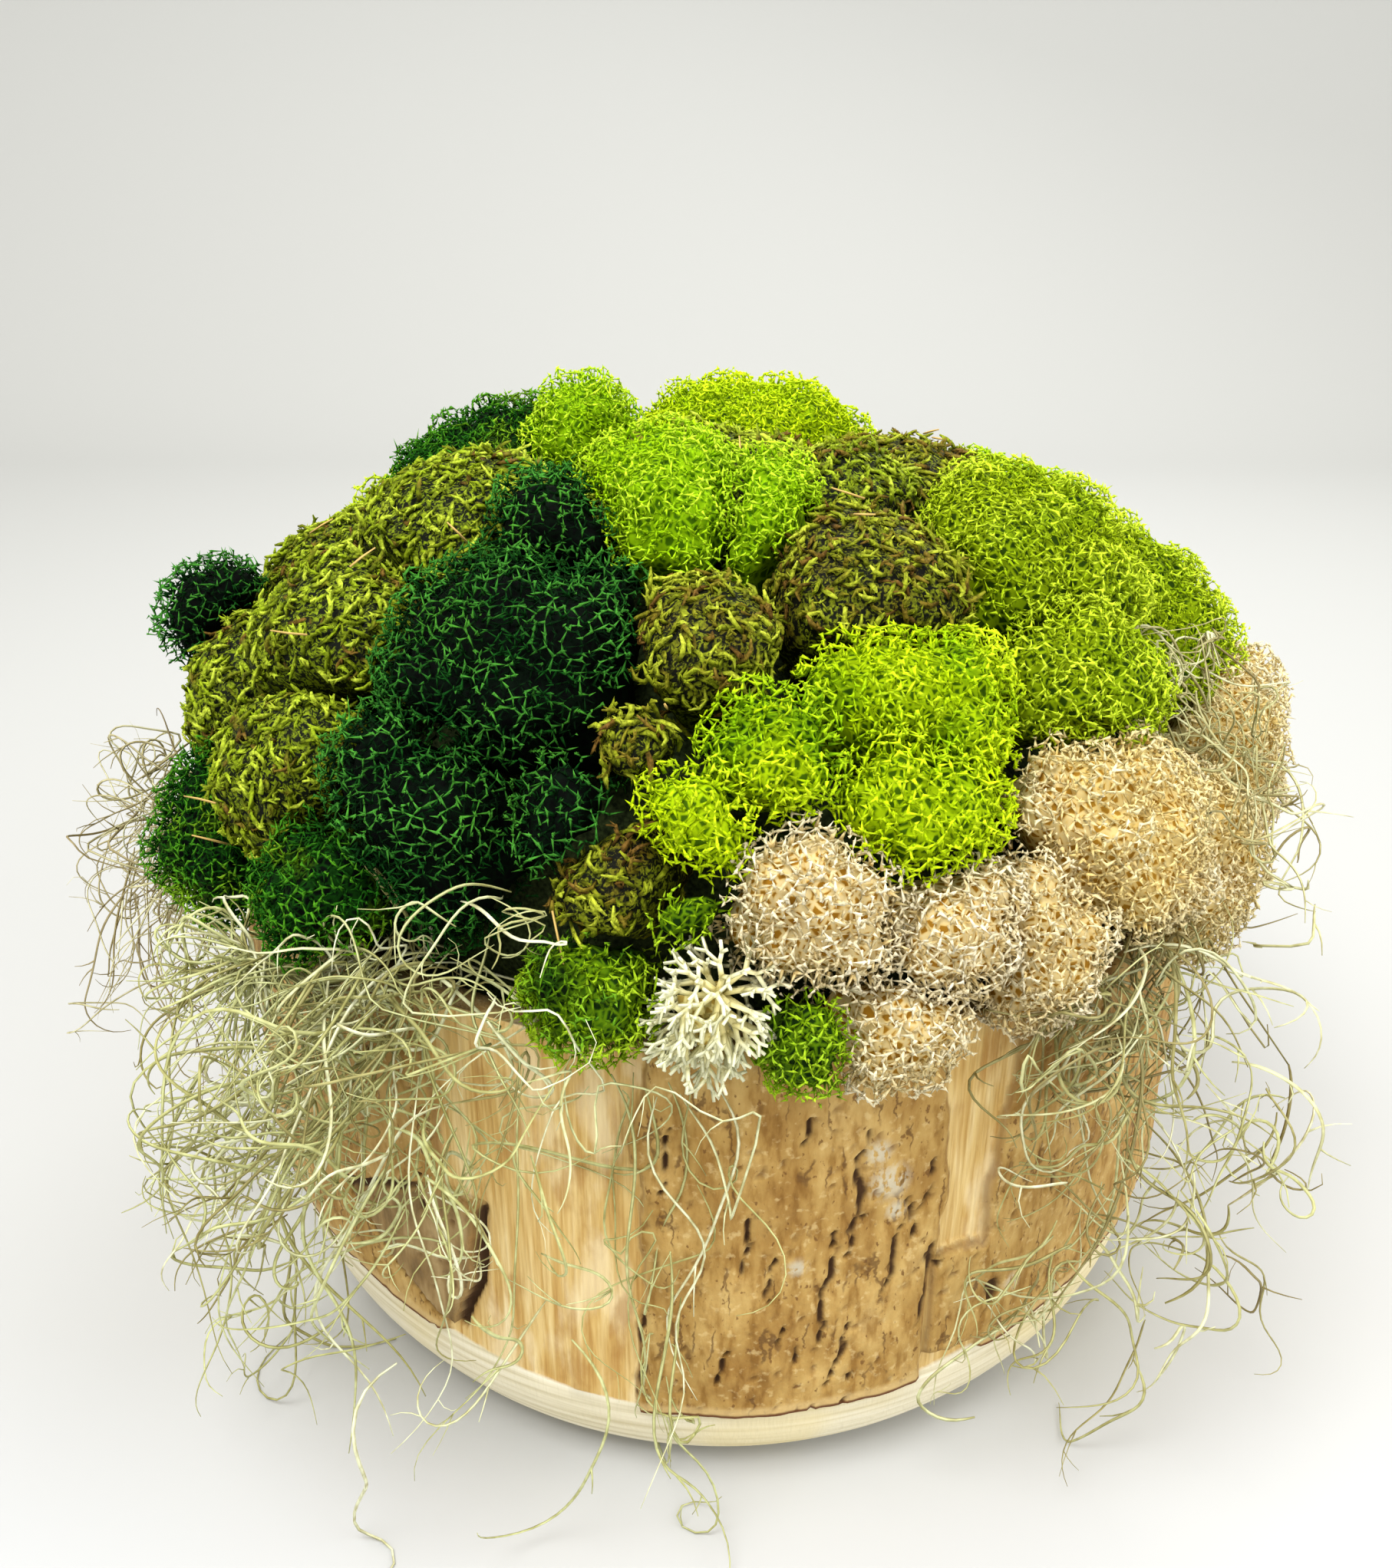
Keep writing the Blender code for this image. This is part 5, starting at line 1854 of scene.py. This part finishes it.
def strand_manners(alone, long_share, rng):
    """Step, curl radius, sway and its rate, gap and weight of each strand."""
    count = len(alone)
    long = (rng.random(count) < long_share) | alone
    step = np.where(long, rng.uniform(*LONG_STEP, count), rng.uniform(*SHORT_STEP, count))
    radius = np.where(long, rng.uniform(*LONG_CURL, count),
                      TIGHTEST_CURL + rng.gamma(2.0, 2.1, count))
    radius[alone] = rng.uniform(*LONE_CURL, alone.sum())
    sway, rate = rng.uniform(0.0, 6.3, count), rng.uniform(*SWAY_RATE, count)
    gaps = np.where(alone, LEAST_GAP, LEAST_GAP + rng.gamma(1.2, 2.0, count))
    weight = np.where(long, LONG_WEIGHT, rng.uniform(*SHORT_WEIGHT, count))[:, None]
    weight[alone] = LONE_WEIGHT
    return step, radius, sway, rate, gaps, weight


print("a short strand is up to", round(SHORT_STEP[1] * (STRAND_STEPS - 1)), "mm long,",
      "a long one up to", round(LONG_STEP[1] * (STRAND_STEPS - 1)), "mm")

# %% [markdown]
# Now the growing itself. At each step a strand's course is turned about its axis, pulled
# down, drawn back to the CAD strands if it has gone too far, and turned away from the edges
# of its own box. A strand that reaches the table lies down and goes on curling there.

# %% Strand growth
DOWN = np.array((0.0, 0.0, -1.0))
FLOOR_LIFT = 0.6
EDGE_ROOM = 16.0
EDGE_PUSH = 0.35
BOX_MARGIN = 10.0
AXIS_WANDER = 0.32
LEASH_PULL = 0.05
HOME_PULL = 0.012
SOFTENINGS = 2


def room_for(points, alone):
    """Low and high corner of the box that each strand should stay in."""
    low = np.where(alone[:, None], cad_box[0] / MM, points.min(axis=0)) - BOX_MARGIN
    high = np.where(alone[:, None], cad_box[1] / MM, points.max(axis=0)) + BOX_MARGIN
    low[:, 2] = FLOOR_LIFT - EDGE_ROOM
    return low, high


def first_courses(here, alone, rng):
    """Courses at the start: outward and a little down, or straight down if alone."""
    outward = unit(here * (1.0, 1.0, 0.0))
    course = unit(outward * 0.4 + rng.normal(0.0, 0.7, here.shape) + (0.0, 0.0, -0.3))
    course[alone] = unit(course[alone] * (0.5, 0.2, 0.2) + DOWN)
    return course


def draw_back(course, here, own, leash, knotted):
    """Turn the courses of strands that have gone too far back to the CAD strands."""
    for i in range(knotted):
        spot, _, _, distance = own.find_nearest(Vector(here[i]))
        if distance > leash:
            course[i] += (np.array(spot) - here[i]) / distance * LEASH_PULL * (distance - leash)


def lie_down(here, course, axes):
    """Let the strands that reached the table lie and curl on it."""
    landed = here[:, 2] < FLOOR_LIFT
    course[landed, 2] = np.abs(course[landed, 2]) * 0.1
    axes[landed] = np.sign(axes[landed, 2:3] + 1e-6) * (0.0, 0.0, 1.0)
    here[:, 2] = np.maximum(here[:, 2], FLOOR_LIFT)


def grow_paths(node, recipe, rng):
    """Paths of all the strands of a knot."""
    own = tree_of([node])
    here = strand_starts(node, recipe["count"], rng)
    knotted = len(here)
    if node == LONE_KNOT:
        here = np.concatenate([here, lone_starts()])
    alone = np.arange(len(here)) >= knotted
    low, high = room_for(solids[node][0], alone)
    course = first_courses(here, alone, rng)
    axes = unit(rng.normal(0.0, 1.0, here.shape))
    step, radius, sway, rate, gaps, weight = strand_manners(alone, recipe["long"], rng)
    paths = [here.copy()]
    for k in range(STRAND_STEPS - 1):
        axes = unit(axes + rng.normal(0.0, AXIS_WANDER, axes.shape))
        bend = step / radius * (0.5 + 0.9 * np.sin(sway + rate * k))
        course = unit(turned(course, axes, bend) + weight * DOWN + recipe["drift"])
        draw_back(course, here, own, recipe["leash"], knotted)
        course[alone, 0] += HOME_PULL * (paths[0] - here)[alone, 0]
        course += EDGE_PUSH * np.clip(1.0 - (here - low) / EDGE_ROOM, 0.0, 1.5)
        course -= EDGE_PUSH * np.clip(1.0 - (high - here) / EDGE_ROOM, 0.0, 1.5)
        course = unit(course)
        here = here + course * step[:, None]
        push_out(here, course, gaps)
        lie_down(here, course, axes)
        paths.append(here.copy())
    paths = np.stack(paths, axis=1)
    for _ in range(SOFTENINGS):
        paths[:, 1:-1] = (paths[:, :-2] + 2.0 * paths[:, 1:-1] + paths[:, 2:]) / 4.0
    return paths


test_paths = grow_paths(LONE_KNOT, KNOTS[LONE_KNOT], np.random.default_rng(0))
test_lengths = np.linalg.norm(np.diff(test_paths, axis=1), axis=2).sum(axis=1)
print("a trial knot has strands of", round(test_lengths.min()), "to", round(test_lengths.max()), "mm")

# %% [markdown]
# A strand swells a little behind its root and thins out to a hair. Short side shoots fork
# off it here and there and curl away from the log, which makes the tangle look woolly.

# %% Knots with forks
STRAND_RADIUS = 0.44
FORKS_EACH = 1.5
FORK_STEPS = 4
FORK_LENGTH = (5.0, 13.0)
FORK_STOUTNESS = 0.8
FORK_TIP = 0.35
FORK_LIGHT = 0.8
FORK_MARGIN = 3


def add_forks(bundle, paths, radii, tints, rng):
    """Short side shoots that leave the strands here and there."""
    count = int(FORKS_EACH * len(paths))
    strand = rng.integers(len(paths), size=count)
    ring = rng.integers(FORK_MARGIN, STRAND_STEPS - FORK_MARGIN, count)
    here = paths[strand, ring]
    ahead = unit(paths[strand, ring + 1] - here)
    side = sideways(ahead, rng)
    inward = (side * here * (1.0, 1.0, 0.0)).sum(axis=1) < 0.0
    side *= np.where(inward, -1.0, 1.0)[:, None]
    forward = unit(ahead + side * rng.uniform(0.5, 1.1, (count, 1)))
    up = unit(np.cross(forward, ahead))
    level = (np.zeros(count), rng.normal(0.0, 0.12, count))
    shoots = curl_paths(here, forward, up, rng.uniform(*FORK_LENGTH, count), FORK_STEPS,
                        rng.normal(0.0, 0.4, count), level)
    shoots[:, :, 2] = np.maximum(shoots[:, :, 2], FLOOR_LIFT)
    taper = FORK_STOUTNESS * np.linspace(1.0, FORK_TIP, FORK_STEPS)
    points, triangles = tubes(shoots, radii[strand, ring][:, None] * taper)
    bundle.add(points, triangles, FORK_LIGHT, np.repeat(tints[strand], 3 * FORK_STEPS))


def grow_spanish(node, recipe, rng):
    """One knot of spanish moss in place of its CAD node."""
    paths = grow_paths(node, recipe, rng)
    count = len(paths)
    share = np.linspace(0.0, 1.0, STRAND_STEPS)
    profile = np.minimum(1.0, 0.5 + 4.0 * share) * (1.0 - 0.75 * share ** 3)
    radii = STRAND_RADIUS * recipe["stout"] * rng.uniform(0.7, 1.35, count)[:, None] * profile
    points, triangles = tubes(paths, radii)
    bundle = Bundle()
    tints = rng.uniform(*recipe["tint"], count)
    light = np.repeat(np.tile(0.5 + 0.5 * share, (count, 1)).ravel(), 3)
    bundle.add(points, triangles, light, np.repeat(tints, 3 * STRAND_STEPS))
    add_forks(bundle, paths, radii, tints, rng)
    return bundle.object("grown_" + node, recipe["grey"])


print("forks:", sum(int(FORKS_EACH * knot["count"]) for knot in KNOTS.values()), "or a few more")

# %% [markdown]
# Living Spanish moss is green, and dry strands are grey and brown. Both are ramps over the
# tint of a strand, and the hue of the piece says how grey the whole knot is.

# %% Spanish moss finish
GREEN_STRANDS = ((0.0, (84, 70, 36)), (0.12, (148, 138, 82)), (0.4, (182, 184, 118)),
                 (0.7, (204, 210, 150)), (1.0, (240, 242, 208)))
GREY_STRANDS = ((0.0, (58, 44, 30)), (0.12, (128, 108, 80)), (0.4, (172, 154, 120)),
                (0.7, (196, 184, 146)), (1.0, (216, 212, 172)))


def spanish_finish():
    """Grey-green strands, from pale to brown, with a slight mottle."""
    finish = Finish("spanish_moss", 0.6, 0.35)
    green = finish.ramp(finish.value("tint"), GREEN_STRANDS)
    grey = finish.ramp(finish.value("tint"), GREY_STRANDS)
    colour = finish.mix(finish.value("hue"), green, grey)
    mottle = finish.ramp(finish.noise(4.0, 3.0), [
        (0.35, (206, 200, 176)), (0.6, (255, 255, 255))])
    return finish.colour(finish.tinted(colour, mottle))


spanish_material = spanish_finish()
strand_triangles = 0
for seed, (node, recipe) in enumerate(KNOTS.items()):
    knot = grow_spanish(node, recipe, np.random.default_rng(200 + seed))
    dress(knot, node, spanish_material)
    strand_triangles += len(knot.data.polygons)
print("spanish moss:", strand_triangles, "triangles")

# %% [markdown]
